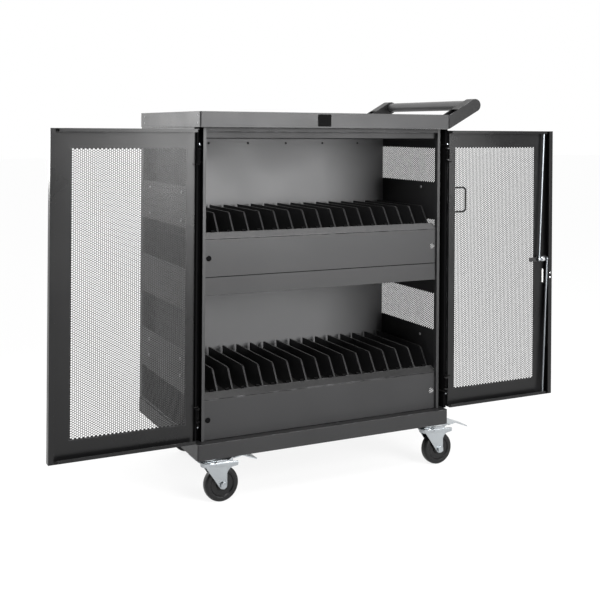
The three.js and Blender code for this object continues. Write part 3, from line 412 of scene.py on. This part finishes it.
BAND_HEIGHTS = ((0.051, 0.158), (0.276, 0.394), (0.510, 0.626), (0.742, 0.852))
BAND_FRONT = 0.026
BAND_BACK = 0.026
base_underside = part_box("base_frame")[0].z
for side in ("left", "right"):
    low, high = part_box(side + "_side_panel")
    middle_x = (low.x + high.x) / 2
    upright = Matrix(((0, 0, 1, middle_x), (1, 0, 0, 0), (0, 1, 0, 0), (0, 0, 0, 1)))
    windows = []
    for number, (bottom, top) in enumerate(BAND_HEIGHTS):
        corner = (low.y + BAND_FRONT, base_underside + bottom)
        far_corner = (high.y - BAND_BACK, base_underside + top)
        name = side + "_side_vent_" + str(number + 1)
        meshes, window_low, window_high = punched_field(name, corner, far_corner, upright, SIDE_HOLE, black_coat)
        keep_piece(name, meshes[0], "cabinet", None)
        windows.append((window_low, window_high))
    mesh = windowed_sheet(
        side + "_side_sheet", (low.y, low.z), (high.y, high.z), windows, high.x - low.x, upright
    )
    keep_piece(side + "_side_sheet", mesh, "cabinet", black_coat, [side + "_side_panel"])


# Rivets and screw heads hold the sides to the shelves and the cap's folds together. They are plated, so they
# stand out pale on the black sheet.
heads, given, result = node_tree(
    "fixing_heads", [("Radius", "Float"), ("Rise", "Float"), ("Finish", "Material")]
)
dome = add_node(heads, "GeometryNodeMeshUVSphere", {"Segments": 14, "Rings": 8, "Radius": given["Radius"]})
flatness = calculate(heads, "DIVIDE", given["Rise"], given["Radius"])
squat = add_node(heads, "ShaderNodeCombineXYZ", {"X": 1.0, "Y": 1.0, "Z": flatness}).outputs[0]
head = add_node(heads, "GeometryNodeTransform", {"Geometry": dome.outputs[0], "Scale": squat})
copies = add_node(
    heads, "GeometryNodeInstanceOnPoints", {"Points": given["Geometry"], "Instance": head.outputs[0]}
)
loose = add_node(heads, "GeometryNodeRealizeInstances", {0: copies.outputs[0]})
soft = add_node(heads, "GeometryNodeSetShadeSmooth", {"Geometry": loose.outputs[0]})
coated = add_node(heads, "GeometryNodeSetMaterial", {"Geometry": soft.outputs[0], "Material": given["Finish"]})
heads.links.new(coated.outputs[0], result[0])
bright_plating = finish(
    "bright_plating", (0.8, 0.81, 0.83), (0.85, 0.85, 0.85), 0.22, 0.0006, 0.1, 0.2, 0.05, metallic=1.0, spread=0.05
)


def end_face(x, sign):
    """The plane of a face that points to one end of the cart: across is +Y, up is +Z."""
    return Matrix(((0, 0, sign, x), (1, 0, 0, 0), (0, 1, 0, 0), (0, 0, 0, 1)))


def front_face(y, sign=-1):
    """The plane of a face that points to the front: across is +X, up is +Z."""
    return Matrix(((1, 0, 0, 0), (0, 0, sign, y), (0, 1, 0, 0), (0, 0, 0, 1)))


def fixings(name, spots, to_place, radius, rise, body, coat=bright_plating):
    """A set of domed heads on one face."""
    start = bpy.data.meshes.new(name)
    start.from_pydata([(u, v, 0) for u, v in spots], [], [])
    mesh = grown(name, heads, {"Radius": radius, "Rise": rise, "Finish": coat}, start, to_place)
    return keep_piece(name, mesh, body, None)


rivet_paint = finish(
    "rivet_paint", (0.2, 0.2, 0.205), (0.4, 0.4, 0.41), 0.45, 0.0008, 0.2, 0.2, 0.1
)
cart_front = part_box("top_cap")[0].y
for side, sign in (("left", -1), ("right", 1)):
    low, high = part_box(side + "_side_panel")
    outside = high.x if sign > 0 else low.x
    spots = [
        (cart_front + y, base_underside + z)
        for y in (0.15, 0.44) for z in (0.2, 0.25, 0.644, 0.725)
    ]
    fixings(side + "_side_rivets", spots, end_face(outside, sign), 0.0055, 0.0035, "cabinet", coat=rivet_paint)

# The front of the cabinet is framed by two bent posts, a stepped rail under the cap, a beam below the upper
# shelf and a deep fascia in front of each lead compartment. All are folded sheet, spot welded together.
post_coat = finish(
    "post_powder_coat", (0.016, 0.016, 0.0166), (0.03, 0.03, 0.03), 0.45, 0.0011, 0.3, 0.1, 0.08, shine=0.35
)
# A near-black coat without gloss, used as painted shade on surfaces in pockets, gaps and holes where only shade falls.
painted_shade_black = finish(
    "painted_shade_black_coat", (0.004, 0.004, 0.0042), (0.01, 0.01, 0.01), 0.6, 0.0011, 0.3, 0.0, 0.05, shine=0.0
)
# The rail under the cap takes a darker copy of the black coat: painted shade for the shadow under the cap.
shaded_rail_coat = finish(
    "rail_coat_painted_shade", (0.01, 0.01, 0.0105), (0.2, 0.2, 0.21), 0.42, 0.0011, 0.3, 0.5, 0.08, shine=0.17
)
POCKET_EDGE = 0.3912
# The right post takes the darker black coat and the left post its own lighter coat, so the right post carries painted
# shade.
for name, node, coat in (
    ("left_post", "left_front_post", post_coat), ("right_post", "right_front_post", black_coat),
    ("cap_rail", "header_rail", shaded_rail_coat), ("shelf_rail", "shelf_beam", black_coat),
    ("upper_apron", "upper_fascia", black_coat), ("lower_apron", "lower_fascia", black_coat),
):
    piece = rounded(name, node, FOLD, "cabinet", coat)
    # The posts' faces in the hinge pockets get the near-black coat: painted shade.
    if name.endswith("_post"):
        piece.data.materials.append(painted_shade_black)
        for face in piece.data.polygons:
            face.material_index = int(abs(face.center.x) > POCKET_EDGE)
rail_low, rail_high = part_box("header_rail")
spots = [(x, rail_high.z - 0.0065) for x in (-0.37, -0.19, 0.19, 0.37)]
apron_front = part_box("upper_fascia")[0].y
# Near-black domes over the left fascia holes stand in for the dark inside seen through them: painted shade.
hole_plane = front_face(apron_front)
hole_heights = [sum(corner.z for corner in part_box(tier + "_fascia")) / 2 for tier in ("upper", "lower")]
shaded_holes = [(-0.37, height) for height in hole_heights]
fixings("apron_hole_shade", shaded_holes, hole_plane, 0.0078, 0.0012, "cabinet", painted_shade_black)
fixings("cap_rail_screws", spots, front_face(rail_low.y), 0.0028, 0.0004, "cabinet", black_coat)

# Each shelf is a folded deck with a sloping front lip, and on it stands a moulded rack of dividers that keeps
# the slots apart.
blocks, given, result = node_tree(
    "row_of_blocks", [("Count", "Int"), ("Step", "Float"), ("Size", "Vector"), ("Finish", "Material")]
)
half_row = calculate(blocks, "MULTIPLY", calculate(blocks, "SUBTRACT", given["Count"], 1), given["Step"])
first = add_node(blocks, "ShaderNodeCombineXYZ", {"X": calculate(blocks, "MULTIPLY", half_row, -0.5)}).outputs[0]
onward = add_node(blocks, "ShaderNodeCombineXYZ", {"X": given["Step"]}).outputs[0]
line = add_node(
    blocks, "GeometryNodeMeshLine", {"Count": given["Count"], "Start Location": first, "Offset": onward}
)
unit = add_node(blocks, "GeometryNodeMeshCube", {"Size": given["Size"]})
copies = add_node(blocks, "GeometryNodeInstanceOnPoints", {"Points": line.outputs[0], "Instance": unit.outputs[0]})
loose = add_node(blocks, "GeometryNodeRealizeInstances", {0: copies.outputs[0]})
coated = add_node(blocks, "GeometryNodeSetMaterial", {"Geometry": loose.outputs[0], "Material": given["Finish"]})
blocks.links.new(coated.outputs[0], result[0])


def block_row(name, count, step, size, place, coat, body="cabinet"):
    """Equal blocks in a row along the cart's width, round one middle."""
    sizes = {"Count": count, "Step": step, "Size": size, "Finish": coat}
    return keep_piece(name, grown(name, blocks, sizes, place=Matrix.Translation(place)), body, None)


# Lighter and darker copies of the black coat: the upper deck and the push bar are painted lighter, as painted light,
# and the lower deck darker, as painted shade.
painted_light_coat = finish(
    "coat_painted_lighter", (0.048, 0.048, 0.049), (0.1, 0.1, 0.105), 0.42, 0.0011, 0.3, 0.2, 0.08, shine=0.5
)
shaded_low_deck_coat = finish(
    "low_deck_coat_painted_shade", (0.014, 0.014, 0.0144), (0.2, 0.2, 0.205), 0.42, 0.0011, 0.3, 0.5, 0.04, shine=0.36
)
SLOT_STEP = 0.047
LIP_CREST = 0.0187
LIP_RISE = 0.018
for tier in ("upper", "lower"):
    coat = painted_light_coat if tier == "upper" else shaded_low_deck_coat
    rounded(tier + "_deck", tier + "_shelf_deck", FOLD, "cabinet", coat)
    rounded(tier + "_slot_rack", tier + "_divider_rack", 0.0009, "cabinet", black_moulding)
    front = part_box(tier + "_shelf_deck")[0].y
    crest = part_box(tier + "_fascia")[1].z + LIP_RISE
    clip = (0, front + LIP_CREST, crest + 0.0025)
    # The clips take the near-black painted-shade coat, without gloss, so their tops stay dark under the lamps.
    block_row(tier + "_lead_clips", 16, SLOT_STEP, (0.011, 0.006, 0.005), clip, painted_shade_black)

# A near-black strip along the lower edge of the rail under the cap is painted shadow: it stands for the shade under
# the rail's folded edge.
RAIL_FLANGE = 0.015
RAIL_SHADOW_LINE = 0.0024
rail_edge = (0, rail_low.y + RAIL_FLANGE + RAIL_SHADOW_LINE / 3, rail_low.z)
block_row("rail_painted_shadow", 1, 0, (rail_high.x - rail_low.x, RAIL_SHADOW_LINE, RAIL_SHADOW_LINE), rail_edge, painted_shade_black)

# A near-black strip between the upper fascia and the beam below it is painted shadow for the shade in the narrow gap
# between them.
GAP_SHADOW = 0.0022
beam_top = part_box("shelf_beam")[1].z
gap_shadow_size = (rail_high.x - rail_low.x, 0.0006, GAP_SHADOW)
block_row("apron_gap_shadow", 1, 0, gap_shadow_size, (0, apron_front, beam_top), painted_shade_black)

# The wall behind the shelves closes off the rear bay, where the power strips are screwed to it. The bay
# has a stiffening ring and two flanged doors with a cam lock.
wall_coat = finish(
    "wall_powder_coat", (0.085, 0.085, 0.087), (0.3, 0.3, 0.31), 0.5, 0.0011, 0.3, 0.3, 0.1
)
rounded("shelf_wall", "bay_back_panel", 0.0004, "cabinet", wall_coat)
rounded("rear_ring", "rear_frame", FOLD, "cabinet", black_coat)
for tier in ("upper", "lower"):
    rounded(tier + "_strip", tier + "_power_strip", 0.0015, "cabinet", black_moulding)
    low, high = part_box(tier + "_power_strip")
    back = ((low.x + high.x) / 2, high.y, (low.z + high.z) / 2)
    for label, count, step, size, coat in (
        ("sockets", 8, 0.072, (0.034, 0.003, 0.034), black_coat),
        ("contacts", 16, 0.036, (0.003, 0.0042, 0.01), bright_plating),
    ):
        block_row(tier + "_strip_" + label, count, step, size, back, coat)
rounded("left_rear_panel", "left_rear_door", FOLD, "left_rear_leaf", black_coat)
rounded("right_rear_panel", "right_rear_door", FOLD, "right_rear_leaf", black_coat)
rounded("rear_cam", "rear_lock", 0.0005, "rear_cam_lock", bright_plating)
# The key slot is a near-black block on the lock's face: painted shade in place of a cut slot.
KEY_SLOT = (0.0018, 0.0008, 0.009)
lock_points = [v.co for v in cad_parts["rear_lock"].data.vertices]
key_plane = max(point.y for point in lock_points)
key_rim = [point for point in lock_points if key_plane - point.y < 1e-4]
key_spot = sum(key_rim, Vector()) / len(key_rim)
block_row("key_slot", 1, 0, KEY_SLOT, key_spot, painted_shade_black, "rear_cam_lock")

# The cap is a folded tray like the base, turned over, with a plain black plate on its front.
rounded("cap_tray", "top_cap", FOLD, "cabinet", black_coat)
plate_enamel = finish(
    "plate_enamel", (0.002, 0.002, 0.0021), (0.03, 0.03, 0.03), 0.3, 0.0011, 0.1, 0.2, 0.05, shine=0.008
)
rounded("front_plate", "badge_plate", 0.0004, "cabinet", plate_enamel)
low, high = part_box("top_cap")
spots = [
    (high.y - 0.04, low.z + 0.012), (high.y - 0.04, low.z + 0.032), (low.y + 0.018, low.z + 0.012),
    (low.y + 0.018, low.z + 0.034),
]
for side, outside, sign in (("left", low.x, -1), ("right", high.x, 1)):
    fixings(side + "_cap_rivets", spots, end_face(outside, sign), 0.0035, 0.001, "cabinet", coat=rivet_paint)

# The push handle is a steel tube between two hollow arms that are welded to the cap's right end.
# The arms take a darker copy of the black coat: painted shade.
shaded_arm_coat = finish(
    "arm_coat_painted_shade", (0.006, 0.006, 0.0063), (0.3, 0.3, 0.31), 0.46, 0.0011, 0.3, 0.5, 0.08, shine=0.17
)
rounded("front_arm", "handle_front_bracket", FOLD, "cabinet", shaded_arm_coat)
rounded("rear_arm", "handle_rear_bracket", FOLD, "cabinet", shaded_arm_coat)
def turned(name, profile, centre, axis, steps=64):
    """A round piece about an axis, from the (radius, place along the axis) corners of its section."""
    work = bmesh.new()
    ring = [work.verts.new((radius, 0, along)) for radius, along in profile]
    edges = [work.edges.new(pair) for pair in zip(ring, ring[1:] + ring[:1])]
    bmesh.ops.spin(
        work, geom=ring + edges, axis=(0, 0, 1), cent=(0, 0, 0), steps=steps, angle=math.tau, use_merge=True
    )
    bmesh.ops.remove_doubles(work, verts=work.verts[:], dist=1e-6)
    bmesh.ops.recalc_face_normals(work, faces=work.faces[:])
    for face in work.faces:
        face.smooth = True
    for edge in work.edges:
        edge.smooth = edge.calc_face_angle(0) < math.radians(40)
    mesh = bpy.data.meshes.new(name)
    work.to_mesh(mesh)
    work.free()
    mesh.transform(Matrix.Translation(centre) @ Vector(axis).to_track_quat("Z", "Y").to_matrix().to_4x4())
    return mesh


low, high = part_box("handle_bar")
radius = (high.z - low.z) / 2
half = (high.y - low.y) / 2
profile = [
    (0, -half), (radius - 0.001, -half), (radius, 0.001 - half), (radius, half - 0.001), (radius - 0.001, half),
    (0, half),
]
bar = turned("push_bar", profile, (low + high) / 2, (0, 1, 0))
# The bar takes the lighter coat: painted light.
keep_piece("push_bar", bar, "cabinet", painted_light_coat, ["handle_bar"])

# A bent wire loop on the right side takes the turns of the mains lead.
wire, given, result = node_tree(
    "bent_wire", [("Radius", "Float"), ("Bend", "Float"), ("Finish", "Material")]
)
route = add_node(wire, "GeometryNodeMeshToCurve", {"Mesh": given["Geometry"]})
bent = add_node(
    wire, "GeometryNodeFilletCurve",
    {"Curve": route.outputs[0], "Count": 10, "Radius": given["Bend"], "Limit Radius": True}, mode="POLY",
)
section = add_node(wire, "GeometryNodeCurvePrimitiveCircle", {"Resolution": 16, "Radius": given["Radius"]})
drawn = add_node(
    wire, "GeometryNodeCurveToMesh",
    {"Curve": bent.outputs[0], "Profile Curve": section.outputs[0], "Fill Caps": True},
)
soft = add_node(wire, "GeometryNodeSetShadeSmooth", {"Geometry": drawn.outputs[0]})
coated = add_node(wire, "GeometryNodeSetMaterial", {"Geometry": soft.outputs[0], "Material": given["Finish"]})
wire.links.new(coated.outputs[0], result[0])
low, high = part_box("cord_wrap_bracket")
middle_y = (low.y + high.y) / 2
foot_low, foot_high = low.z + 0.009, high.z - 0.009
tip = high.x - 0.003
corners = [
    (low.x, middle_y, foot_low), (tip, middle_y, foot_low), (tip, middle_y, foot_high), (low.x, middle_y, foot_high)
]
path = bpy.data.meshes.new("lead_loop_path")
path.from_pydata(corners, [(0, 1), (1, 2), (2, 3)], [])
loop = grown("lead_loop", wire, {"Radius": 0.003, "Bend": 0.01, "Finish": black_coat}, path)
keep_piece("lead_loop", loop, "cabinet", None, ["cord_wrap_bracket"])
foot_profile = [(0.002, 0), (0.009, 0), (0.009, 0.002), (0.008, 0.003), (0.002, 0.003)]
for end, height in (("lower", foot_low), ("upper", foot_high)):
    flange = turned(end + "_loop_flange", foot_profile, (low.x, middle_y, height), (1, 0, 0))
    keep_piece(end + "_loop_flange", flange, "cabinet", black_coat)

# A front door is a folded frame with a face sheet spot welded to it. The sheet's middle is punched with the
# same fine hexagons as the sides. Spring pins at both ends of the hinge side drop into the posts' tabs.
zinc_plate = finish(
    "bright_zinc", (0.33, 0.35, 0.365), (0.55, 0.57, 0.59), 0.3, 0.0012, 0.15, 0.4, 0.08, metallic=1.0, spread=0.25
)
# The doors and their perforated sheets take a darker copy of the black coat: painted shade.
shaded_door_coat = finish(
    "door_coat_painted_shade", (0.003, 0.003, 0.0032), (0.2, 0.2, 0.21), 0.31, 0.0011, 0.1, 0.5, 0.08, shine=0.26
)
coil, given, result = node_tree(
    "coil_spring",
    [("Turns", "Float"), ("Radius", "Float"), ("Length", "Float"), ("Wire", "Float"), ("Finish", "Material")],
)
spiral = add_node(
    coil, "GeometryNodeCurveSpiral",
    {"Resolution": 18, "Rotations": given["Turns"], "Start Radius": given["Radius"], "End Radius": given["Radius"],
     "Height": given["Length"]},
)
section = add_node(coil, "GeometryNodeCurvePrimitiveCircle", {"Resolution": 8, "Radius": given["Wire"]})
drawn = add_node(
    coil, "GeometryNodeCurveToMesh",
    {"Curve": spiral.outputs[0], "Profile Curve": section.outputs[0], "Fill Caps": True},
)
soft = add_node(coil, "GeometryNodeSetShadeSmooth", {"Geometry": drawn.outputs[0]})
coated = add_node(coil, "GeometryNodeSetMaterial", {"Geometry": soft.outputs[0], "Material": given["Finish"]})
coil.links.new(coated.outputs[0], result[0])
SPRING_LENGTH = 0.0204
PIN_COLLAR = 0.0039
BUTTON_LENGTH = 0.0048
BUTTON_PROFILE = [(0, 0), (0.00242, 0), (0.00242, 0.003), (0.0016, 0.0046), (0, 0.005)]
PIN_TIP_TO_EAR = 0.0500
DOOR_HOLE = 0.00505
HINGE_FLANGE_EDGE = 0.417
HINGE_MARGIN = 0.028
FREE_MARGIN = 0.059
END_MARGIN = 0.053
for side, outward in (("left", -1), ("right", 1)):
    body = side + "_door"
    rim = rounded(side + "_door_rim", side + "_door_frame", FOLD, body, shaded_door_coat)
    # On the left door the faces of the hinge flange get the near-black coat: painted shade.
    rim.data.materials.append(painted_shade_black)
    for face in rim.data.polygons:
        face.material_index = int(0 > face.center.x > -HINGE_FLANGE_EDGE)
    low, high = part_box(side + "_door_skin")
    middle_y = (low.y + high.y) / 2
    facing = Matrix(((1, 0, 0, 0), (0, 0, -1, middle_y), (0, 1, 0, 0), (0, 0, 0, 1)))
    hinge_side, free_side = sorted((low.x, high.x), key=abs)
    field = sorted((hinge_side + outward * HINGE_MARGIN, free_side - outward * FREE_MARGIN))
    name = side + "_door_mesh"
    meshes, window_low, window_high = punched_field(
        name, (field[0], low.z + END_MARGIN), (field[1], high.z - END_MARGIN), facing, DOOR_HOLE, shaded_door_coat, 2
    )
    for mesh in meshes:
        keep_piece(mesh.name, mesh, body, None)
    mesh = windowed_sheet(
        side + "_door_face", (low.x, low.z), (high.x, high.z), [(window_low, window_high)], high.y - low.y, facing
    )
    keep_piece(side + "_door_face", mesh, body, shaded_door_coat, [side + "_door_skin"])
    for end in ("upper", "lower"):
        # The spring bolts and the springs take the near-black coat: painted shade for the hinge pockets they sit in.
        rounded(
            side + "_" + end + "_spring_bolt", side + "_" + end + "_hinge_pin", 0.0003,
            side + "_" + end + "_pin", painted_shade_black,
        )
        low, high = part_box(side + "_" + end + "_hinge_pin")
        up = 1 if end == "upper" else -1
        seat = (high.z - PIN_TIP_TO_EAR) if up > 0 else (low.z + PIN_TIP_TO_EAR)
        axis_x = high.x - PIN_COLLAR if outward < 0 else low.x + PIN_COLLAR
        foot = (axis_x, high.y - PIN_COLLAR, seat + up * 0.0003)
        upright = Matrix.Translation(foot) @ Matrix.Diagonal((1, 1, up, 1))
        sizes = {"Turns": 6.0, "Radius": 0.0034, "Length": SPRING_LENGTH, "Wire": 0.0005, "Finish": painted_shade_black}
        name = side + "_" + end + "_pin_spring"
        mesh = grown(name, coil, sizes, place=upright)
        if up < 0:
            mesh.flip_normals()
        spring = keep_piece(name, mesh, body, None)
        tip = (axis_x, high.y - PIN_COLLAR, high.z - BUTTON_LENGTH if up > 0 else low.z + BUTTON_LENGTH)
        button = turned(side + "_" + end + "_pin_button", BUTTON_PROFILE, tip, (0, 0, up), 16)
        keep_piece(button.name, button, side + "_" + end + "_pin", zinc_plate)
        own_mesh(spring)

# The door lock: a lever outside turns a cam inside the right door, which pushes one bright rod up and one
# down through the door's ends.
rounded("lever_plate", "lock_escutcheon", 0.001, "right_door", black_moulding)
rounded("lever", "lock_handle", 0.0015, "door_lock", black_moulding)
rounded("rod_cam", "lock_cam", 0.0004, "door_lock", black_coat)
low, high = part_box("lock_handle")
cam_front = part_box("upper_lock_rod")[0].y
lock_x = (low.x + high.x) / 2
lock_z = high.z - 0.015
rod_steel = finish(
    "drawn_rod_steel", (0.15, 0.16, 0.17), (0.4, 0.41, 0.42), 0.34, 0.0012, 0.1, 0.3, 0.05, metallic=1.0
)
pale_guide_painted_reflection = finish("pale_guide_painted_reflection", (0.7, 0.7, 0.68), (0.8, 0.8, 0.8), 0.5, 0.0008, 0.1, 0.1, 0.02)
rounded("rod_up", "upper_lock_rod", 0.0004, "upper_rod", rod_steel)
rounded("rod_down", "lower_lock_rod", 0.0004, "lower_rod", rod_steel)
eye_plane = front_face(cam_front)
fixings("rod_up_nut", [(lock_x - 0.0165, lock_z)], eye_plane, 0.0062, 0.0025, "upper_rod", coat=zinc_plate)
fixings("rod_down_nut", [(lock_x + 0.0165, lock_z)], eye_plane, 0.0045, 0.002, "lower_rod", coat=rod_steel)
GUIDE_SIZE = (0.005, 0.0025, 0.044)
NUT_PROFILE = [(0, 0), (0.009, 0), (0.009, 0.0035), (0.0082, 0.0043), (0, 0.0043)]
BOSS_PROFILE = [(0, 0.004), (0.0056, 0.004), (0.0056, 0.007), (0.005, 0.0078), (0, 0.0078)]
nut_seat = (lock_x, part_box("lock_cam")[0].y, lock_z)
for name, profile, sides, coat in (
    ("cam_nut", NUT_PROFILE, 6, zinc_plate), ("cam_boss", BOSS_PROFILE, 24, bright_plating)
):
    mesh = turned(name, profile, nut_seat, (0, -1, 0), sides)
    keep_piece(name, mesh, "door_lock", coat)
rim_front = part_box("right_door_frame")[0].y
rim_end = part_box("right_door_frame")[1].x
spots = [(rim_end - 0.007, lock_z - 0.045), (rim_end - 0.007, lock_z - 0.06)]
# A rod guide beside the lower rod, whose pale colour is a painted reflection of the bright strip there.
guide = bmesh.new()
bmesh.ops.create_cube(guide, size=1)
skin_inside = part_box("right_door_skin")[0].y
bmesh.ops.scale(guide, vec=GUIDE_SIZE, verts=guide.verts)
bmesh.ops.translate(guide, vec=(lock_x + 0.008, skin_inside - GUIDE_SIZE[1] / 2, lock_z - 0.056), verts=guide.verts)
bmesh.ops.bevel(guide, geom=guide.edges[:], offset=0.0006, segments=2, affect="EDGES")
mesh = bpy.data.meshes.new("rod_guide")
guide.to_mesh(mesh)
guide.free()
keep_piece("rod_guide", mesh, "right_door", pale_guide_painted_reflection)
fixings("lock_keep_screws", spots, front_face(rim_front), 0.003, 0.001, "right_door")

# Four swivel casters with pressed, zinc plated plates and forks, and black wheels. The front pair have a foot
# brake each.
tyre_rubber = finish(
    "black_tyre", (0.005, 0.005, 0.0053), (0.03, 0.03, 0.03), 0.32, 0.001, 0.1, 0.3, 0.05, shine=0.25
)
WHEEL_RADIUS = 0.05
half_section = [(0.0352, 0.0135), (0.037, 0.014), (0.043, 0.014), (0.0465, 0.0128), (0.049, 0.0095), (0.05, 0.005)]
tyre_profile = half_section + [(radius, -along) for radius, along in reversed(half_section)]
half_section = [(0.0064, 0.015), (0.0145, 0.015), (0.0155, 0.0142), (0.0175, 0.0095), (0.032, 0.0095), (0.035, 0.0125)]
hub_profile = half_section + [(radius, -along) for radius, along in reversed(half_section)]
CROWN_INSIDE = 0.0178
CROWN_SECTION = ((0, 1), (0.0028, 1), (0.0032, 0.97), (0.0033, 0.93), (0.0033, 0.5), (0.0027, 0.25), (0.0025, 0), (0, 0))
CROWN_SIDE = (
    (0.084, 0.102, 0.1095), (0.0835, 0.1005, 0.111), (0.0825, 0.0997, 0.1117), (0.08, 0.0992, 0.112),
    (0.074, 0.0988, 0.1122), (0.068, 0.098, 0.1125), (0.063, 0.0966, 0.1128), (0.059, 0.0945, 0.113),
    (0.056, 0.0915, 0.1132), (0.0535, 0.0875, 0.1134), (0.0512, 0.082, 0.1135), (0.048, 0.097, 0.1135),
    (0.03, 0.097, 0.1135), (0.012, 0.1, 0.1135),
)
CROWN_FRONT = (0.103, 0.1135)


def crown_skirt(name, axis_place):
    """The pressed rim of a fork: it goes round the front of the race and runs out in two ears behind."""
    bottom, top = CROWN_FRONT
    path = [((x, CROWN_INSIDE), (0, 1), low, high) for x, low, high in CROWN_SIDE]
    for step in range(21):
        turn = math.radians(90 + step * 180 / 20)
        out = Vector((math.cos(turn), math.sin(turn)))
        path.append((out * CROWN_INSIDE, out, bottom, top))
    path += [((x, -CROWN_INSIDE), (0, -1), low, high) for x, low, high in reversed(CROWN_SIDE)]
    work = bmesh.new()
    rings = []
    for (x, y), (out_x, out_y), low, high in path:
        ring = []
        for out, share in CROWN_SECTION:
            ring.append(work.verts.new((x + out_x * out, y + out_y * out, low + (high - low) * share)))
        rings.append(ring)
    count = len(CROWN_SECTION)
    for ring, following in zip(rings, rings[1:]):
        for i in range(count):
            j = (i + 1) % count
            work.faces.new((ring[i], ring[j], following[j], following[i]))
    work.faces.new(rings[0])
    work.faces.new(rings[-1])
    bmesh.ops.recalc_face_normals(work, faces=work.faces[:])
    for face in work.faces:
        face.smooth = True
    for edge in work.edges:
        edge.smooth = edge.calc_face_angle(0) < math.radians(50)
    mesh = bpy.data.meshes.new(name)
    work.to_mesh(mesh)
    work.free()
    mesh.transform(Matrix.Translation((axis_place.x, axis_place.y, 0)))
    return mesh


RACE_PROFILE = [
    (0.019, 0.1164), (0.0285, 0.1164), (0.0296, 0.1168), (0.03, 0.1176), (0.0296, 0.1184), (0.0285, 0.1188),
    (0.019, 0.1188),
]
for corner in ("front_left", "front_right", "rear_left", "rear_right"):
    rounded(corner + "_top_plate", corner + "_caster_plate", 0.0006, "cabinet", zinc_plate)
    rounded(corner + "_yoke", corner + "_fork", 0.0007, corner + "_swivel", zinc_plate)
    rounded(corner + "_bolt", corner + "_axle", 0.0006, corner + "_swivel", zinc_plate)
    low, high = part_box(corner + "_wheel")
    centre = (low + high) / 2
    centre.z = WHEEL_RADIUS
    for label, profile, coat, stood_for in (
        ("_tyre", tyre_profile, tyre_rubber, [corner + "_wheel"]), ("_hub", hub_profile, tyre_rubber, [])
    ):
        mesh = turned(corner + label, profile, centre, (0, 1, 0))
        keep_piece(corner + label, mesh, corner + "_roller", coat, stood_for)
    plate_low, plate_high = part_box(corner + "_caster_plate")
    hub = (plate_low + plate_high) / 2
    skirt = crown_skirt(corner + "_crown", hub)
    keep_piece(corner + "_crown", skirt, corner + "_swivel", zinc_plate)
    race = turned(corner + "_race_rim", RACE_PROFILE, (hub.x, hub.y, 0), (0, 0, 1))
    keep_piece(corner + "_race_rim", race, corner + "_swivel", zinc_plate)
    spots = [(hub.x + x, hub.y + y) for x in (-0.036, 0.036) for y in (-0.026, 0.026)]
    underside = Matrix(((1, 0, 0, 0), (0, -1, 0, 2 * hub.y), (0, 0, -1, plate_high.z - 0.003), (0, 0, 0, 1)))
    fixings(corner + "_plate_bolts", spots, underside, 0.0065, 0.004, "cabinet", zinc_plate)
    if corner.startswith("front"):
        rounded(corner + "_foot_brake", corner + "_brake_pedal", 0.0006, corner + "_brake", zinc_plate)

# The cart stands on a plain pale floor under soft studio light, with a white surround that bright metal
# also mirrors.
floor_mesh = bpy.data.meshes.new("floor")
reach = 30
floor_mesh.from_pydata(
    [(-reach, -reach, 0), (reach, -reach, 0), (reach, reach, 0), (-reach, reach, 0)], [], [(0, 1, 2, 3)]
)
floor = bpy.data.objects.new("floor", floor_mesh)
scene.collection.objects.link(floor)
pale = bpy.data.materials.new("pale_floor")
pale.use_nodes = True
floor_mesh.materials.append(pale)
tree = pale.node_tree
tree.nodes["Principled BSDF"].inputs["Base Color"].default_value = (0.8, 0.8, 0.8, 1)
tree.nodes["Principled BSDF"].inputs["Roughness"].default_value = 0.9
seen = add_node(tree, "ShaderNodeLightPath").outputs
glow = add_node(tree, "ShaderNodeEmission", {"Color": (1, 1, 1, 1), "Strength": 1.06})
mirrored = calculate(tree, "MULTIPLY", seen["Is Glossy Ray"], 0.55)
looked_at = calculate(tree, "MAXIMUM", seen["Is Camera Ray"], mirrored)
whiten = calculate(tree, "MULTIPLY", looked_at, 0.8)
blend = add_node(
    tree, "ShaderNodeMixShader", {0: whiten, 1: tree.nodes["Principled BSDF"].outputs[0], 2: glow.outputs[0]}
)
tree.links.new(blend.outputs[0], tree.nodes["Material Output"].inputs["Surface"])

surround = bpy.data.worlds.new("surround")
surround.use_nodes = True
scene.world = surround
tree = surround.node_tree
seen = add_node(tree, "ShaderNodeLightPath").outputs
shown = calculate(tree, "MAXIMUM", seen["Is Camera Ray"], seen["Is Transmission Ray"])
towards = add_node(tree, "ShaderNodeSeparateXYZ", {0: add_node(tree, "ShaderNodeTexCoord").outputs["Generated"]})
backdrop = add_node(tree, "ShaderNodeMapRange", {0: towards.outputs[1], 1: -0.3, 2: 0.5, 3: 0.2, 4: 1.5}).outputs[0]
strength = add_node(tree, "ShaderNodeMix", {0: shown, 2: backdrop, 3: 1.0}).outputs[0]
tree.links.new(strength, tree.nodes["Background"].inputs["Strength"])
tree.nodes["Background"].inputs["Color"].default_value = (1, 1, 1, 1)


def soft_lamp(name, power, width, height, place, target):
    lamp = bpy.data.lights.new(name, "AREA")
    lamp.shape = "RECTANGLE"
    lamp.energy = power
    lamp.size = width
    lamp.size_y = height
    holder = bpy.data.objects.new(name, lamp)
    holder.location = place
    holder.rotation_euler = (Vector(target) - Vector(place)).to_track_quat("-Z", "Y").to_euler()
    scene.collection.objects.link(holder)


soft_lamp("overhead_lamp", 32, 0.9, 0.9, (-0.55, -1.0, 1.9), (-0.2, 0, 0.8))
soft_lamp("front_lamp", 169, 1.7, 1.75, (1.06, -3.0, 1.39), (-0.1, 0, 0.7))
soft_lamp("left_lamp", 9, 0.6, 0.6, (-1.35, 1.35, 1.1), (-0.41, 0, 1.0))
